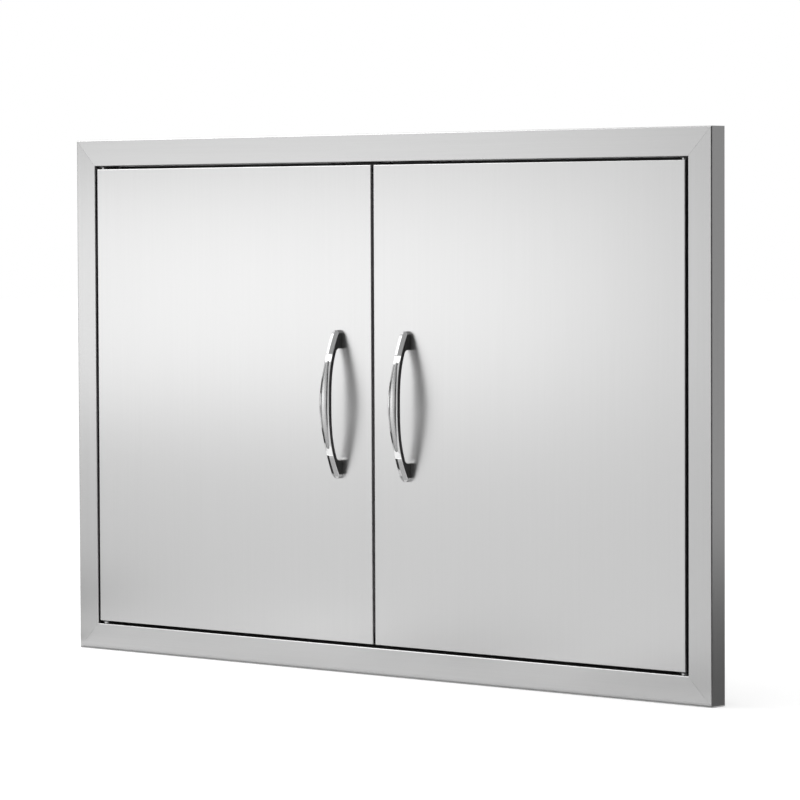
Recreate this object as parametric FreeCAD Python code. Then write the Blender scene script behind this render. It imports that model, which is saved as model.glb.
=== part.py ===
"""Built-in double access door for an outdoor kitchen.

A mitred frame of folded stainless channel holds two double-walled doors on pivot pins.
Sizes are in millimetres. X runs along the width, Y from the front to the back and Z up.
The origin is the frame's centre, on the plane where the frame's lip meets the wall.
"""

import FreeCAD, Part
import math
import os

Vector = FreeCAD.Vector
LEFT = -1
RIGHT = 1
BOTTOM = -1
TOP = 1

# Frame
frame_width = 838.2
frame_height = 533.4
face_width = 27.6
lip_depth = 19.5
throat_depth = 25.5
frame_sheet = 1.2
frame_bend = 2.0

# Stop angles that close the gaps round the doors from behind
stop_width = 12.0
stop_leg = 7.0
stop_end_clearance = 0.3
stop_door_clearance = 1.5

# Screw holes that fix the frame in the wall
wall_hole_diameter = 5.5
wall_hole_setback = 14.0
stile_hole_spacing = 360.0
rail_hole_spacing = 560.0

# Doors
side_gap = 3.0
end_gap = 3.0
middle_gap = 3.0
door_depth = 18.0
door_sheet = 1.0
door_bend = 1.8
door_flange = 15.0
liner_sheet = 0.8
liner_inset = 3.0
liner_corner = 4.0

# Blind rivets that hold each liner on its door's flanges
rivet_diameter = 3.2
rivet_head_diameter = 6.4
rivet_head_height = 1.2
rivet_bulb_diameter = 4.8
rivet_bulb_length = 3.0
rivet_row_inset = 7.5
rivet_strike_gap = 14.0
rivet_spacing_up = 180.0

# Pivot hinges
pivot_inset = 5.0
pivot_setback = 6.0
pin_diameter = 5.0
pin_chamfer = 0.8
running_clearance = 0.05
bushing_wall = 1.0
bushing_flange_diameter = 9.0
bushing_flange = 1.2
bushing_length = 6.0
stud_head_diameter = 9.0
stud_head_height = 2.0
stud_reach = 10.0
thrust_washer_diameter = 7.0

# Spring bolt that draws each top pin down
pin_engagement = 6.0
pin_travel = 9.0
pin_tail = 5.0
bracket_drop = 22.0
bracket_sheet = 1.5
bracket_bend = 2.0
bracket_width = 12.0
clip_thickness = 0.8
clip_diameter = 7.2
clip_groove_depth = 0.6
clip_mouth = 3.4
tab_thickness = 1.5
tab_width = 10.0
tab_depth = 9.0
tab_corner = 1.5
tab_reach = 12.0
slot_clearance = 0.8
spring_length = 24.0
spring_wire = 0.8
spring_mean_diameter = 6.5
spring_turns = 7

# Bow handles
handle_inset = 44.0
handle_length = 147.0
handle_hole_inset = 9.5
bow_height = 21.6
bow_clearance = 17.2
bow_middle_width = 13.2
bow_neck_width = 9.0
bow_neck_inset = 25.5
bow_heel_thickness = 4.96
bow_front_radius = 0.8
bow_back_radius = 1.4
foot_width = 12.0
foot_length = 18.0
foot_tip_height = 2.4
foot_root_radius = 3.0
grip_length = 88.0
grip_middle_width = 10.0
grip_end_width = 4.6
grip_middle_rise = 1.8
grip_end_rise = 1.2
grip_sink = 0.8
grip_stations = 9

# Handle screws, and the plugs over the holes that a driver goes through
screw_diameter = 4.0
screw_reach = 4.6
screw_runout = 0.8
screw_clearance = 0.25
screw_head_diameter = 8.0
screw_head_height = 2.6
washer_diameter = 9.0
washer_thickness = 0.8
access_hole_diameter = 12.0
plug_flange_diameter = 15.5
plug_flange_height = 1.4
plug_skirt_length = 4.0
plug_wall = 1.2

# Magnetic catches under the top rail, and their strike plates on the doors
catch_offset = 32.0
catch_length = 46.0
catch_body_length = 30.0
catch_depth = 16.0
catch_height = 21.0
catch_ear = 2.6
catch_floor = 1.8
catch_ear_corner = 3.0
catch_body_corner = 1.0
magnet_length = 24.0
magnet_thickness = 8.0
magnet_depth = 9.0
magnet_recess = 2.2
pole_thickness = 1.2
pole_reach = 1.2
catch_screw_diameter = 3.5
catch_screw_head_diameter = 6.5
catch_screw_head_height = 2.2
catch_screw_length = 5.0
strike_length = 38.0
strike_height = 14.0
strike_thickness = 1.2
strike_corner = 2.0
strike_rivet_head_diameter = 5.0
strike_rivet_head_height = 0.9

# Places worked out from the sizes above
front_y = -lip_depth
open_x = frame_width / 2 - face_width
open_z = frame_height / 2 - face_width
door_width = open_x - side_gap - middle_gap / 2
door_top = open_z - end_gap
inner_top = door_top - door_sheet
door_back_y = front_y + door_depth
cavity_front_y = front_y + door_sheet
cavity_back_y = door_back_y - door_sheet
liner_back_y = door_back_y + liner_sheet
stop_y = liner_back_y + rivet_head_height + stop_door_clearance
hinge_y = front_y + pivot_setback
sliding_bore = pin_diameter + 2 * running_clearance
bushing_diameter = sliding_bore + 2 * bushing_wall
bracket_top = door_top - bracket_drop
clip_top = bracket_top - bracket_sheet
tab_top = clip_top - clip_thickness
spring_top = tab_top - tab_thickness
spring_bottom = spring_top - spring_length
bracket_bottom = spring_bottom - bracket_sheet
bracket_start = door_bend
tab_start = door_flange + slot_clearance
handle_tip = handle_length / 2
handle_heel = handle_tip - foot_length
handle_hole_spacing = handle_length - 2 * handle_hole_inset
bow_neck_offset = handle_tip - bow_neck_inset
rivet_end_inset = catch_offset + strike_length / 2 - middle_gap / 2 + rivet_strike_gap
pole_front_y = liner_back_y + strike_thickness
catch_front_y = pole_front_y + pole_reach
magnet_back_y = catch_front_y + magnet_depth
pole_z = open_z - catch_height + catch_floor + pole_thickness + magnet_thickness / 2


# Shared shapes

def block(x, y, z):
    """Box between two coordinates on each axis, given in either order."""
    corner = Vector(min(x), min(y), min(z))
    return Part.makeBox(abs(x[1] - x[0]), abs(y[1] - y[0]), abs(z[1] - z[0]), corner)


def either_side(middle, size):
    """The two coordinates half a size either side of a middle."""
    return middle - size / 2, middle + size / 2


def at_y(point, y):
    """The same point at another depth."""
    return Vector(point.x, y, point.z)


def rod(diameter, start, end):
    """Round bar from one point to another."""
    axis = end - start
    return Part.makeCylinder(diameter / 2, axis.Length, start, axis)


def rod_along_y(diameter, point, y):
    """Round bar through a point between two depths."""
    return rod(diameter, at_y(point, y[0]), at_y(point, y[1]))


def rod_along_z(diameter, point, z):
    """Upright round bar through a point between two heights."""
    return rod(diameter, Vector(point.x, point.y, z[0]), Vector(point.x, point.y, z[1]))


def dome(diameter, height, base, axis):
    """Low round head: the cap of a ball on a flat base."""
    radius = (diameter ** 2 / 4 + height ** 2) / (2 * height)
    ball = Part.makeSphere(radius, base - axis * (radius - height))
    return ball.common(Part.makeCylinder(diameter, height, base, axis))


def rounded_outline(corners):
    """Closed wire of straight runs whose corners, given as (point, radius), are arcs."""
    edges = []
    ends = []
    for i, (point, radius) in enumerate(corners):
        back = (corners[i - 1][0] - point).normalize()
        ahead = (corners[(i + 1) % len(corners)][0] - point).normalize()
        half_angle = back.getAngle(ahead) / 2
        cut = radius / math.tan(half_angle)
        arrive = point + back * cut
        leave = point + ahead * cut
        ends.append((arrive, leave))
        if radius:
            inward = (back + ahead).normalize()
            nearest = point + inward * (radius / math.sin(half_angle) - radius)
            edges.append(Part.Arc(arrive, nearest, leave).toShape())
    for i, (_, leave) in enumerate(ends):
        edges.append(Part.LineSegment(leave, ends[(i + 1) % len(ends)][0]).toShape())
    return Part.Wire(Part.__sortEdges__(edges))


def rounded_box(x, y, z, radius):
    """Box with every edge rounded alike."""
    box = block(x, y, z)
    return box.makeFillet(radius, box.Edges)


# Frame

def channel(place, run):
    """Folded channel. place(inward, y) is a point of its section, and run is its length."""
    inner = face_width - frame_sheet
    inside_y = front_y + frame_sheet
    inside_bend = frame_bend - frame_sheet
    section = [
        (0, 0, 0),
        (0, front_y, frame_bend),
        (face_width, front_y, frame_bend),
        (face_width, throat_depth, 0),
        (inner, throat_depth, 0),
        (inner, inside_y, inside_bend),
        (frame_sheet, inside_y, inside_bend),
        (frame_sheet, 0, 0),
    ]
    outline = rounded_outline([(place(inward, y), bend) for inward, y, bend in section])
    return Part.Face(outline).extrude(run)


def mitred(member, corner_at):
    """Cuts both ends of a frame member to 45 degrees. corner_at(inward, end) is on the cut."""
    spare = frame_sheet
    corners = [(-spare, -1), (-spare, 1), (face_width + spare, 1), (face_width + spare, -1)]
    points = [corner_at(inward, end) for inward, end in corners]
    depth = lip_depth + throat_depth + 2 * spare
    keep = Part.Face(Part.makePolygon(points + points[:1])).extrude(Vector(0, depth, 0))
    keep.translate(Vector(0, front_y - spare, 0))
    return member.common(keep)


def frame_rail(end):
    """Top or bottom member of the frame, with its pivot and screw holes."""
    def height(inward):
        return end * (frame_height / 2 - inward)

    def place(inward, y):
        return Vector(-frame_width / 2, y, height(inward))

    def corner_at(inward, side):
        return Vector(side * (frame_width / 2 - inward), 0, height(inward))

    rail = mitred(channel(place, Vector(frame_width, 0, 0)), corner_at)
    through = (height(face_width - 2 * frame_sheet), height(face_width + frame_sheet))
    for side in (LEFT, RIGHT):
        pivot_hole = bushing_diameter if end == TOP else pin_diameter
        rail = rail.cut(rod_along_z(pivot_hole, hinge_axis(side), through))
        fixing = Vector(side * rail_hole_spacing / 2, wall_hole_setback, 0)
        rail = rail.cut(rod_along_z(wall_hole_diameter, fixing, through))
        if end == TOP:
            for screw in catch_screw_places(side):
                rail = rail.cut(rod_along_z(catch_screw_diameter, screw, through))
    return rail


def frame_stile(side):
    """Left or right member of the frame, with its screw holes."""
    def across(inward):
        return side * (frame_width / 2 - inward)

    def place(inward, y):
        return Vector(across(inward), y, -frame_height / 2)

    def corner_at(inward, end):
        return Vector(across(inward), 0, end * (frame_height / 2 - inward))

    stile = mitred(channel(place, Vector(0, 0, frame_height)), corner_at)
    for z in either_side(0, stile_hole_spacing):
        start = Vector(across(face_width - 2 * frame_sheet), wall_hole_setback, z)
        end = Vector(across(face_width + frame_sheet), wall_hole_setback, z)
        stile = stile.cut(rod(wall_hole_diameter, start, end))
    return stile


def stop_angle(place, run, corner_y, leg_way):
    """Folded angle inside a member, with its fold at corner_y. place(inward, y) is a point of its section.

    leg_way is 1 if the leg on the member points back into the wall, and -1 if it points to the front.
    """
    inside_y = corner_y + leg_way * frame_sheet
    inside = face_width + frame_sheet
    leg_y = corner_y + leg_way * stop_leg
    tip = face_width + stop_width
    section = [
        (face_width, leg_y, 0),
        (face_width, corner_y, frame_bend),
        (tip, corner_y, 0),
        (tip, inside_y, 0),
        (inside, inside_y, frame_bend - frame_sheet),
        (inside, leg_y, 0),
    ]
    outline = rounded_outline([(place(inward, y), bend) for inward, y, bend in section])
    return Part.Face(outline).extrude(run)


def rail_stop(end, corner_y, leg_way):
    """Stop angle inside the top or bottom member, from stile to stile."""
    half = open_x - stop_end_clearance

    def place(inward, y):
        return Vector(-half, y, end * (frame_height / 2 - inward))

    return stop_angle(place, Vector(2 * half, 0, 0), corner_y, leg_way)


def top_stop():
    """Stop angle at the back of the top member, behind the catches."""
    return rail_stop(TOP, throat_depth, -1)


def bottom_stop():
    """Stop angle of the bottom member, just behind the doors."""
    return rail_stop(BOTTOM, stop_y, 1)


def stile_stop(side):
    """Stop angle of the left or right member, from the bottom angle to the top member."""
    bottom = -open_z + stop_width + stop_end_clearance
    top = open_z - stop_end_clearance

    def place(inward, y):
        return Vector(side * (frame_width / 2 - inward), y, bottom)

    return stop_angle(place, Vector(0, 0, top - bottom), stop_y, 1)


# Places on the doors

def door_x(side, run):
    """X at a distance from a door's hinge edge towards its free edge."""
    return side * (open_x - side_gap - run)


def hinge_axis(side):
    """Point on a door's hinge axis."""
    return Vector(door_x(side, pivot_inset), hinge_y, 0)


def handle_screw_places(side):
    """Points on a door's front where its handle's screws come through."""
    x = door_x(side, door_width - handle_inset)
    return [Vector(x, front_y, z) for z in either_side(0, handle_hole_spacing)]


def liner_rivet_places(side):
    """Points on a liner's back where its rivets sit, along all four flanges."""
    runs = [rivet_end_inset, door_width / 2, door_width - rivet_end_inset]
    rows = [end * (door_top - rivet_row_inset) for end in (BOTTOM, TOP)]
    places = [(run, z) for run in runs for z in rows]
    for run in (rivet_row_inset, door_width - rivet_row_inset):
        places += [(run, z) for z in either_side(0, rivet_spacing_up)]
    return [Vector(door_x(side, run), liner_back_y, z) for run, z in places]


def strike_centre(side):
    """Point on a liner's back behind the middle of its strike plate."""
    return Vector(side * catch_offset, liner_back_y, pole_z)


def catch_screw_places(side):
    """Points on the top rail where a catch's screws go in."""
    spread = (catch_length + catch_body_length) / 2
    y = catch_front_y + catch_depth / 2
    return [Vector(x, y, open_z) for x in either_side(side * catch_offset, spread)]


# Doors

def door_skin(side):
    """Outer pan of a door: front, four returns and the flanges that carry the liner."""
    outside = (door_x(side, 0), door_x(side, door_width))
    inside = (door_x(side, door_sheet), door_x(side, door_width - door_sheet))
    mouth = (door_x(side, door_flange), door_x(side, door_width - door_flange))
    mouth_top = door_top - door_flange
    skin = rounded_box(outside, (front_y, door_back_y), (-door_top, door_top), door_bend)
    skin = skin.cut(rounded_box(
        inside, (cavity_front_y, cavity_back_y), (-inner_top, inner_top), door_bend - door_sheet))
    skin = skin.cut(block(
        mouth, (cavity_back_y - door_sheet, liner_back_y), (-mouth_top, mouth_top)))
    for place in handle_screw_places(side):
        hole = screw_diameter + 2 * screw_clearance
        skin = skin.cut(rod_along_y(hole, place, (front_y - door_sheet, cavity_front_y + door_sheet)))
    for place in liner_rivet_places(side) + [strike_centre(side)]:
        skin = skin.cut(rod_along_y(rivet_diameter, place, (cavity_back_y - door_sheet, liner_back_y)))
    for end, hole in ((TOP, sliding_bore), (BOTTOM, bushing_diameter)):
        through = (end * (inner_top - door_sheet), end * (door_top + door_sheet))
        skin = skin.cut(rod_along_z(hole, hinge_axis(side), through))
    return skin


def door_liner(side):
    """Inner sheet of a door, on the back of the skin's flanges."""
    top = door_top - liner_inset
    edges = (door_x(side, liner_inset), door_x(side, door_width - liner_inset))
    corners = [(edges[0], top), (edges[1], top), (edges[1], -top), (edges[0], -top)]
    outline = rounded_outline([(Vector(x, door_back_y, z), liner_corner) for x, z in corners])
    liner = Part.Face(outline).extrude(Vector(0, liner_sheet, 0))
    through = (door_back_y - liner_sheet, liner_back_y + liner_sheet)
    for place in liner_rivet_places(side) + [strike_centre(side)]:
        liner = liner.cut(rod_along_y(rivet_diameter, place, through))
    for place in handle_screw_places(side):
        liner = liner.cut(rod_along_y(access_hole_diameter, place, through))
    slot_x = (door_x(side, tab_start - slot_clearance), door_x(side, tab_start + tab_width + slot_clearance))
    slot_z = (spring_top - pin_travel - slot_clearance, tab_top + slot_clearance)
    return liner.cut(block(slot_x, through, slot_z))


def rivet(place, seat_y, head_diameter, head_height):
    """Blind rivet: a low head on its seat, a shank and the bulb drawn up inside the flange."""
    shank = rod_along_y(rivet_diameter, place, (cavity_back_y, seat_y))
    bulb = rod_along_y(rivet_bulb_diameter, place, (cavity_back_y - rivet_bulb_length, cavity_back_y))
    head = dome(head_diameter, head_height, at_y(place, seat_y), Vector(0, 1, 0))
    return shank.multiFuse([bulb, head])


def liner_rivets(side):
    """The rivets around a liner."""
    places = liner_rivet_places(side)
    return Part.makeCompound(
        [rivet(place, liner_back_y, rivet_head_diameter, rivet_head_height) for place in places])


def strike_plate(side):
    """Steel plate on a liner's back that the catch holds."""
    centre = strike_centre(side)
    y = (liner_back_y, pole_front_y)
    left, right = either_side(centre.x, strike_length)
    bottom, top = either_side(pole_z, strike_height)
    corners = [(left, bottom), (right, bottom), (right, top), (left, top)]
    outline = rounded_outline([(Vector(x, liner_back_y, z), strike_corner) for x, z in corners])
    plate = Part.Face(outline).extrude(Vector(0, strike_thickness, 0))
    return plate.cut(rod_along_y(rivet_diameter, centre, y))


def strike_rivet(side):
    """Rivet through the middle of a strike plate."""
    return rivet(strike_centre(side), pole_front_y, strike_rivet_head_diameter, strike_rivet_head_height)


# Bow handles

def bow_arc_radius():
    """Radius of a bow's front in side view, from its crest and its two tips."""
    rise = bow_height - foot_tip_height
    return (handle_tip ** 2 + rise ** 2) / (2 * rise)


def heel_height():
    """Height at which the arc over the fingers meets a foot, a set thickness behind the front."""
    radius = bow_arc_radius()
    front = bow_height - radius + math.sqrt(radius ** 2 - handle_heel ** 2)
    return front - bow_heel_thickness


def bow_side_outline():
    """Side view of a handle: the front arc, the two feet and the arc over the fingers."""
    edges = []
    for crest, height, reach in (
        (bow_height, foot_tip_height, handle_tip),
        (bow_clearance, heel_height(), handle_heel),
    ):
        ends = [Vector(0, -height, end * reach) for end in (BOTTOM, TOP)]
        edges.append(Part.Arc(ends[0], Vector(0, -crest, 0), ends[1]).toShape())
    for end in (BOTTOM, TOP):
        foot = [
            Vector(0, -foot_tip_height, end * handle_tip),
            Vector(0, 0, end * handle_tip),
            Vector(0, 0, end * handle_heel),
            Vector(0, -heel_height(), end * handle_heel),
        ]
        edges += Part.makePolygon(foot).Edges
    return Part.Wire(Part.__sortEdges__(edges))


def s_curve(start, end):
    """Two equal arcs between points on the XZ plane, upright at both ends."""
    middle = (start + end) / 2
    run = middle.z - start.z
    rise = middle.x - start.x
    radius = (run ** 2 + rise ** 2) / (2 * abs(rise))
    bow = math.copysign(radius - math.sqrt(radius ** 2 - run ** 2 / 4), rise)
    first = Part.Arc(start, start + Vector(bow, 0, run / 2), middle)
    second = Part.Arc(middle, end - Vector(bow, 0, run / 2), end)
    return [first.toShape(), second.toShape()]


def bow_front_outline():
    """Front view of a handle: full at the middle, drawn in at the necks, round at the tips."""
    shoulder = handle_tip - foot_width / 2
    edges = []
    for end in (BOTTOM, TOP):
        for side in (LEFT, RIGHT):
            middle = Vector(side * bow_middle_width / 2, 0, 0)
            neck = Vector(side * bow_neck_width / 2, 0, end * bow_neck_offset)
            foot = Vector(side * foot_width / 2, 0, end * shoulder)
            edges += s_curve(middle, neck) + s_curve(neck, foot)
        tip = Vector(0, 0, end * handle_tip)
        ends = [Vector(side * foot_width / 2, 0, end * shoulder) for side in (LEFT, RIGHT)]
        edges.append(Part.Arc(ends[0], tip, ends[1]).toShape())
    return Part.Wire(Part.__sortEdges__(edges))


def grip_section(angle, share):
    """Crowned section of the grip, square to the bow. share is 0 at its middle, 1 at its ends."""
    radius = bow_arc_radius()
    width = grip_middle_width + (grip_end_width - grip_middle_width) * share ** 2
    rise = grip_middle_rise + (grip_end_rise - grip_middle_rise) * share ** 2
    centre = Vector(0, radius - bow_height, 0)
    outward = Vector(0, -math.cos(angle), math.sin(angle))
    base = centre + outward * (radius - grip_sink)
    crest = centre + outward * (radius + rise)
    half = Vector(width / 2, 0, 0)
    crown = Part.Arc(base - half, crest, base + half).toShape()
    return Part.Wire([crown, Part.LineSegment(base + half, base - half).toShape()])


def handle_grip():
    """Raised spindle along the middle of the bow."""
    end_angle = math.asin(grip_length / 2 / bow_arc_radius())
    steps = [2 * i / (grip_stations - 1) - 1 for i in range(grip_stations)]
    return Part.makeLoft([grip_section(step * end_angle, abs(step)) for step in steps], True, False)


def lies_on_front(edge):
    """True for an edge on the bow's front arc."""
    radius = bow_arc_radius()
    centre_y = radius - bow_height
    return all(abs(math.hypot(p.y - centre_y, p.z) - radius) < 1e-3 for p in edge.discretize(5))


def lies_behind(edge):
    """True for an edge down the back of the bow's sides, over the fingers and down each foot."""
    box = edge.BoundBox
    height = abs(edge.CenterOfMass.z)
    on_door = box.YMin > -1e-3
    across = box.XLength > bow_neck_width / 2
    seam = box.ZLength < 1e-3 and height < handle_heel - 1e-3
    past_heel = height > handle_heel + 1e-3
    return not (on_door or across or seam or past_heel or lies_on_front(edge))


def crosses_heel(edge):
    """True for the edge where a foot's inner face meets the arc over the fingers."""
    box = edge.BoundBox
    on_heel = abs(abs(edge.CenterOfMass.z) - handle_heel) < 1e-3
    return on_heel and box.XLength > bow_neck_width / 2 and box.YMax < -heel_height() / 2


def handle(side):
    """Cast bow handle with two feet, narrow necks and a raised grip."""
    profile = Part.Face(bow_side_outline()).extrude(Vector(2 * foot_width, 0, 0))
    profile.translate(Vector(-foot_width, 0, 0))
    bow = profile.common(Part.Face(bow_front_outline()).extrude(Vector(0, -2 * bow_height, 0)))
    bow = bow.makeFillet(foot_root_radius, [e for e in bow.Edges if crosses_heel(e)])
    bow = bow.makeFillet(bow_back_radius, [e for e in bow.Edges if lies_behind(e)])
    bow = bow.makeFillet(bow_front_radius, [e for e in bow.Edges if lies_on_front(e)])
    casting = bow.fuse(handle_grip())
    casting.translate(Vector(door_x(side, door_width - handle_inset), front_y, 0))
    for place in handle_screw_places(side):
        depth = front_y - screw_reach - screw_runout
        casting = casting.cut(rod_along_y(screw_diameter, place, (depth, front_y)))
    return casting


def handle_screws(side):
    """Screws that hold a handle from inside its door."""
    seat_y = cavity_front_y + washer_thickness
    screws = []
    for place in handle_screw_places(side):
        shank = rod_along_y(screw_diameter, place, (front_y - screw_reach, seat_y))
        head = dome(screw_head_diameter, screw_head_height, at_y(place, seat_y), Vector(0, 1, 0))
        screws.append(shank.fuse(head))
    return Part.makeCompound(screws)


def handle_washers(side):
    """Washers under the handle screws' heads."""
    y = (cavity_front_y, cavity_front_y + washer_thickness)
    bore = screw_diameter + 2 * screw_clearance
    places = handle_screw_places(side)
    return Part.makeCompound(
        [rod_along_y(washer_diameter, p, y).cut(rod_along_y(bore, p, y)) for p in places])


def access_plugs(side):
    """Plugs that close the liner's holes over the handle screws."""
    plugs = []
    for place in handle_screw_places(side):
        y = (liner_back_y - plug_skirt_length, liner_back_y)
        skirt = rod_along_y(access_hole_diameter, place, y)
        skirt = skirt.cut(rod_along_y(access_hole_diameter - 2 * plug_wall, place, y))
        cap = dome(plug_flange_diameter, plug_flange_height, at_y(place, liner_back_y), Vector(0, 1, 0))
        plugs.append(skirt.fuse(cap))
    return Part.makeCompound(plugs)


# Pivot hinges

def pin_end(axis, z, end):
    """Chamfered last stretch of a pin that ends at a height."""
    start = Vector(axis.x, axis.y, z - end * pin_chamfer)
    tip = pin_diameter / 2 - pin_chamfer
    return Part.makeCone(pin_diameter / 2, tip, pin_chamfer, start, Vector(0, 0, end))


def bushing(side, face, end):
    """Flanged bushing whose flange lies under a sheet's face; end is the way its barrel points."""
    axis = hinge_axis(side)
    flange_face = face - end * bushing_flange
    barrel = rod_along_z(bushing_diameter, axis, (face, face + end * bushing_length))
    flange = rod_along_z(bushing_flange_diameter, axis, (flange_face, face))
    bore = rod_along_z(sliding_bore, axis, (flange_face, face + end * bushing_length))
    return barrel.fuse(flange).cut(bore)


def top_bushing(side):
    """Bushing in the top rail that the spring pin runs in."""
    return bushing(side, open_z, TOP)


def bottom_bushing(side):
    """Bushing in the door's lower return that turns on the fixed stud."""
    return bushing(side, -door_top, TOP)


def bottom_stud(side):
    """Fixed pivot: a headed stud that stands up through the bottom rail."""
    axis = hinge_axis(side)
    underside = -open_z - frame_sheet
    top = -open_z + stud_reach
    head = rod_along_z(stud_head_diameter, axis, (underside - stud_head_height, underside))
    shank = rod_along_z(pin_diameter, axis, (underside, top - pin_chamfer))
    return head.multiFuse([shank, pin_end(axis, top, TOP)])


def thrust_washer(side):
    """Washer on the bottom rail that carries a door's weight."""
    axis = hinge_axis(side)
    z = (-open_z, -door_top - bushing_flange)
    return rod_along_z(thrust_washer_diameter, axis, z).cut(rod_along_z(sliding_bore, axis, z))


def hinge_pin(side):
    """Spring pin with a groove for its clip."""
    axis = hinge_axis(side)
    top = open_z + pin_engagement
    bottom = bracket_bottom - pin_tail
    groove_diameter = pin_diameter - 2 * clip_groove_depth
    return rod_along_z(pin_diameter, axis, (bottom + pin_chamfer, tab_top)).multiFuse([
        rod_along_z(groove_diameter, axis, (tab_top, clip_top)),
        rod_along_z(pin_diameter, axis, (clip_top, top - pin_chamfer)),
        pin_end(axis, top, TOP),
        pin_end(axis, bottom, BOTTOM),
    ])


def pin_clip(side):
    """Open ring in the pin's groove that the pull tab is pressed against."""
    axis = hinge_axis(side)
    z = (tab_top, clip_top)
    ring = rod_along_z(clip_diameter, axis, z)
    ring = ring.cut(rod_along_z(pin_diameter - 2 * clip_groove_depth, axis, z))
    mouth = block(either_side(axis.x, clip_mouth), (axis.y, axis.y + clip_diameter), z)
    return ring.cut(mouth)


def pin_tab(side):
    """Pull tab: a flat plate round the pin that reaches back through the liner."""
    axis = hinge_axis(side)
    near, far = either_side(hinge_y, tab_depth)
    edge = tab_start + tab_width
    back = liner_back_y + tab_reach
    corners = [
        (bracket_start, near),
        (edge, near),
        (edge, back),
        (tab_start, back),
        (tab_start, far),
        (bracket_start, far),
    ]
    outline = rounded_outline([(Vector(door_x(side, run), y, spring_top), tab_corner) for run, y in corners])
    plate = Part.Face(outline).extrude(Vector(0, 0, tab_thickness))
    return plate.cut(rod_along_z(sliding_bore, axis, (spring_top, tab_top)))


def pin_bracket(side):
    """Folded bracket on the back flange: two ears that guide the pin, and the web between."""
    axis = hinge_axis(side)
    ear = hinge_y - tab_depth / 2
    web = cavity_back_y - bracket_sheet
    inside_bend = bracket_bend - bracket_sheet
    section = [
        (ear, bracket_top, 0),
        (cavity_back_y, bracket_top, bracket_bend),
        (cavity_back_y, bracket_bottom, bracket_bend),
        (ear, bracket_bottom, 0),
        (ear, spring_bottom, 0),
        (web, spring_bottom, inside_bend),
        (web, clip_top, inside_bend),
        (ear, clip_top, 0),
    ]
    x = door_x(side, bracket_start)
    outline = rounded_outline([(Vector(x, y, z), bend) for y, z, bend in section])
    bracket = Part.Face(outline).extrude(Vector(-side * bracket_width, 0, 0))
    return bracket.cut(rod_along_z(sliding_bore, axis, (bracket_bottom, bracket_top)))


def tangent_arc(start, corner, end):
    """Arc that leaves start towards a corner and reaches end from it."""
    middle = (start + end) / 2
    half = (end - start).Length / 2
    lean = corner - middle
    sagitta = half * math.tan(math.atan2(lean.Length, half) / 2)
    return Part.Arc(start, middle + lean.normalize() * sagitta, end).toShape()


def biarc(start, start_way, end, end_way):
    """Two arcs that join two points and keep both directions."""
    chord = end - start
    across = chord.dot(start_way + end_way)
    spread = 2 * (1 - start_way.dot(end_way))
    reach = (math.sqrt(across ** 2 + spread * chord.dot(chord)) - across) / spread
    first = start + start_way * reach
    second = end - end_way * reach
    middle = (first + second) / 2
    return [tangent_arc(start, first, middle), tangent_arc(middle, second, end)]


def pin_spring(side):
    """Compression spring between the lower ear and the pull tab, as one unbroken wire."""
    axis = hinge_axis(side)
    radius = spring_mean_diameter / 2
    rise = (spring_length - spring_wire) / spring_turns
    start_z = spring_bottom + spring_wire / 2
    edges = []
    points = []
    for quarter in range(4 * spring_turns + 1):
        angle = quarter * math.pi / 2
        height = start_z + rise * quarter / 4
        point = Vector(axis.x + radius * math.cos(angle), axis.y + radius * math.sin(angle), height)
        way = Vector(-radius * math.sin(angle), radius * math.cos(angle), rise / (2 * math.pi)).normalize()
        points.append((point, way))
    for (start, start_way), (end, end_way) in zip(points, points[1:]):
        edges += biarc(start, start_way, end, end_way)
    wire_section = Part.Wire(Part.makeCircle(spring_wire / 2, points[0][0], points[0][1]))
    return Part.Wire(edges).makePipeShell([wire_section], True, False)


# Magnetic catches

def catch_housing(side):
    """Moulded body of a catch with an ear at each end and a pocket for its magnet."""
    x = side * catch_offset
    front, back = catch_front_y, catch_front_y + catch_depth
    layers = []
    for length, height, radius in (
        (catch_length, catch_ear, catch_ear_corner),
        (catch_body_length, catch_height, catch_body_corner),
    ):
        left, right = either_side(x, length)
        corners = [(left, front), (right, front), (right, back), (left, back)]
        outline = rounded_outline([(Vector(cx, cy, open_z), radius) for cx, cy in corners])
        layers.append(Part.Face(outline).extrude(Vector(0, 0, -height)))
    ears, body = layers
    pocket = block(
        either_side(x, magnet_length),
        (catch_front_y, magnet_back_y),
        either_side(pole_z, magnet_thickness + 2 * pole_thickness))
    housing = ears.fuse(body).cut(pocket)
    for screw in catch_screw_places(side):
        hole = catch_screw_diameter + 2 * screw_clearance
        housing = housing.cut(rod_along_z(hole, screw, (open_z - catch_ear, open_z)))
    return housing.removeSplitter()


def catch_magnet(side):
    """Magnet block, set back between the pole plates."""
    return block(
        either_side(side * catch_offset, magnet_length),
        (pole_front_y + magnet_recess, magnet_back_y),
        either_side(pole_z, magnet_thickness))


def catch_poles(side):
    """Two steel plates that carry the magnet's pull to the strike plate."""
    plates = []
    for end in (BOTTOM, TOP):
        inner = pole_z + end * magnet_thickness / 2
        plates.append(block(
            either_side(side * catch_offset, magnet_length),
            (pole_front_y, magnet_back_y),
            (inner, inner + end * pole_thickness)))
    return Part.makeCompound(plates)


def catch_screws(side):
    """Screws that hold a catch under the top rail."""
    screws = []
    for place in catch_screw_places(side):
        seat = Vector(place.x, place.y, open_z - catch_ear)
        shank = rod_along_z(catch_screw_diameter, place, (seat.z, open_z + catch_screw_length))
        head = dome(catch_screw_head_diameter, catch_screw_head_height, seat, Vector(0, 0, -1))
        screws.append(shank.fuse(head))
    return Part.makeCompound(screws)


# Every piece, by name

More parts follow.
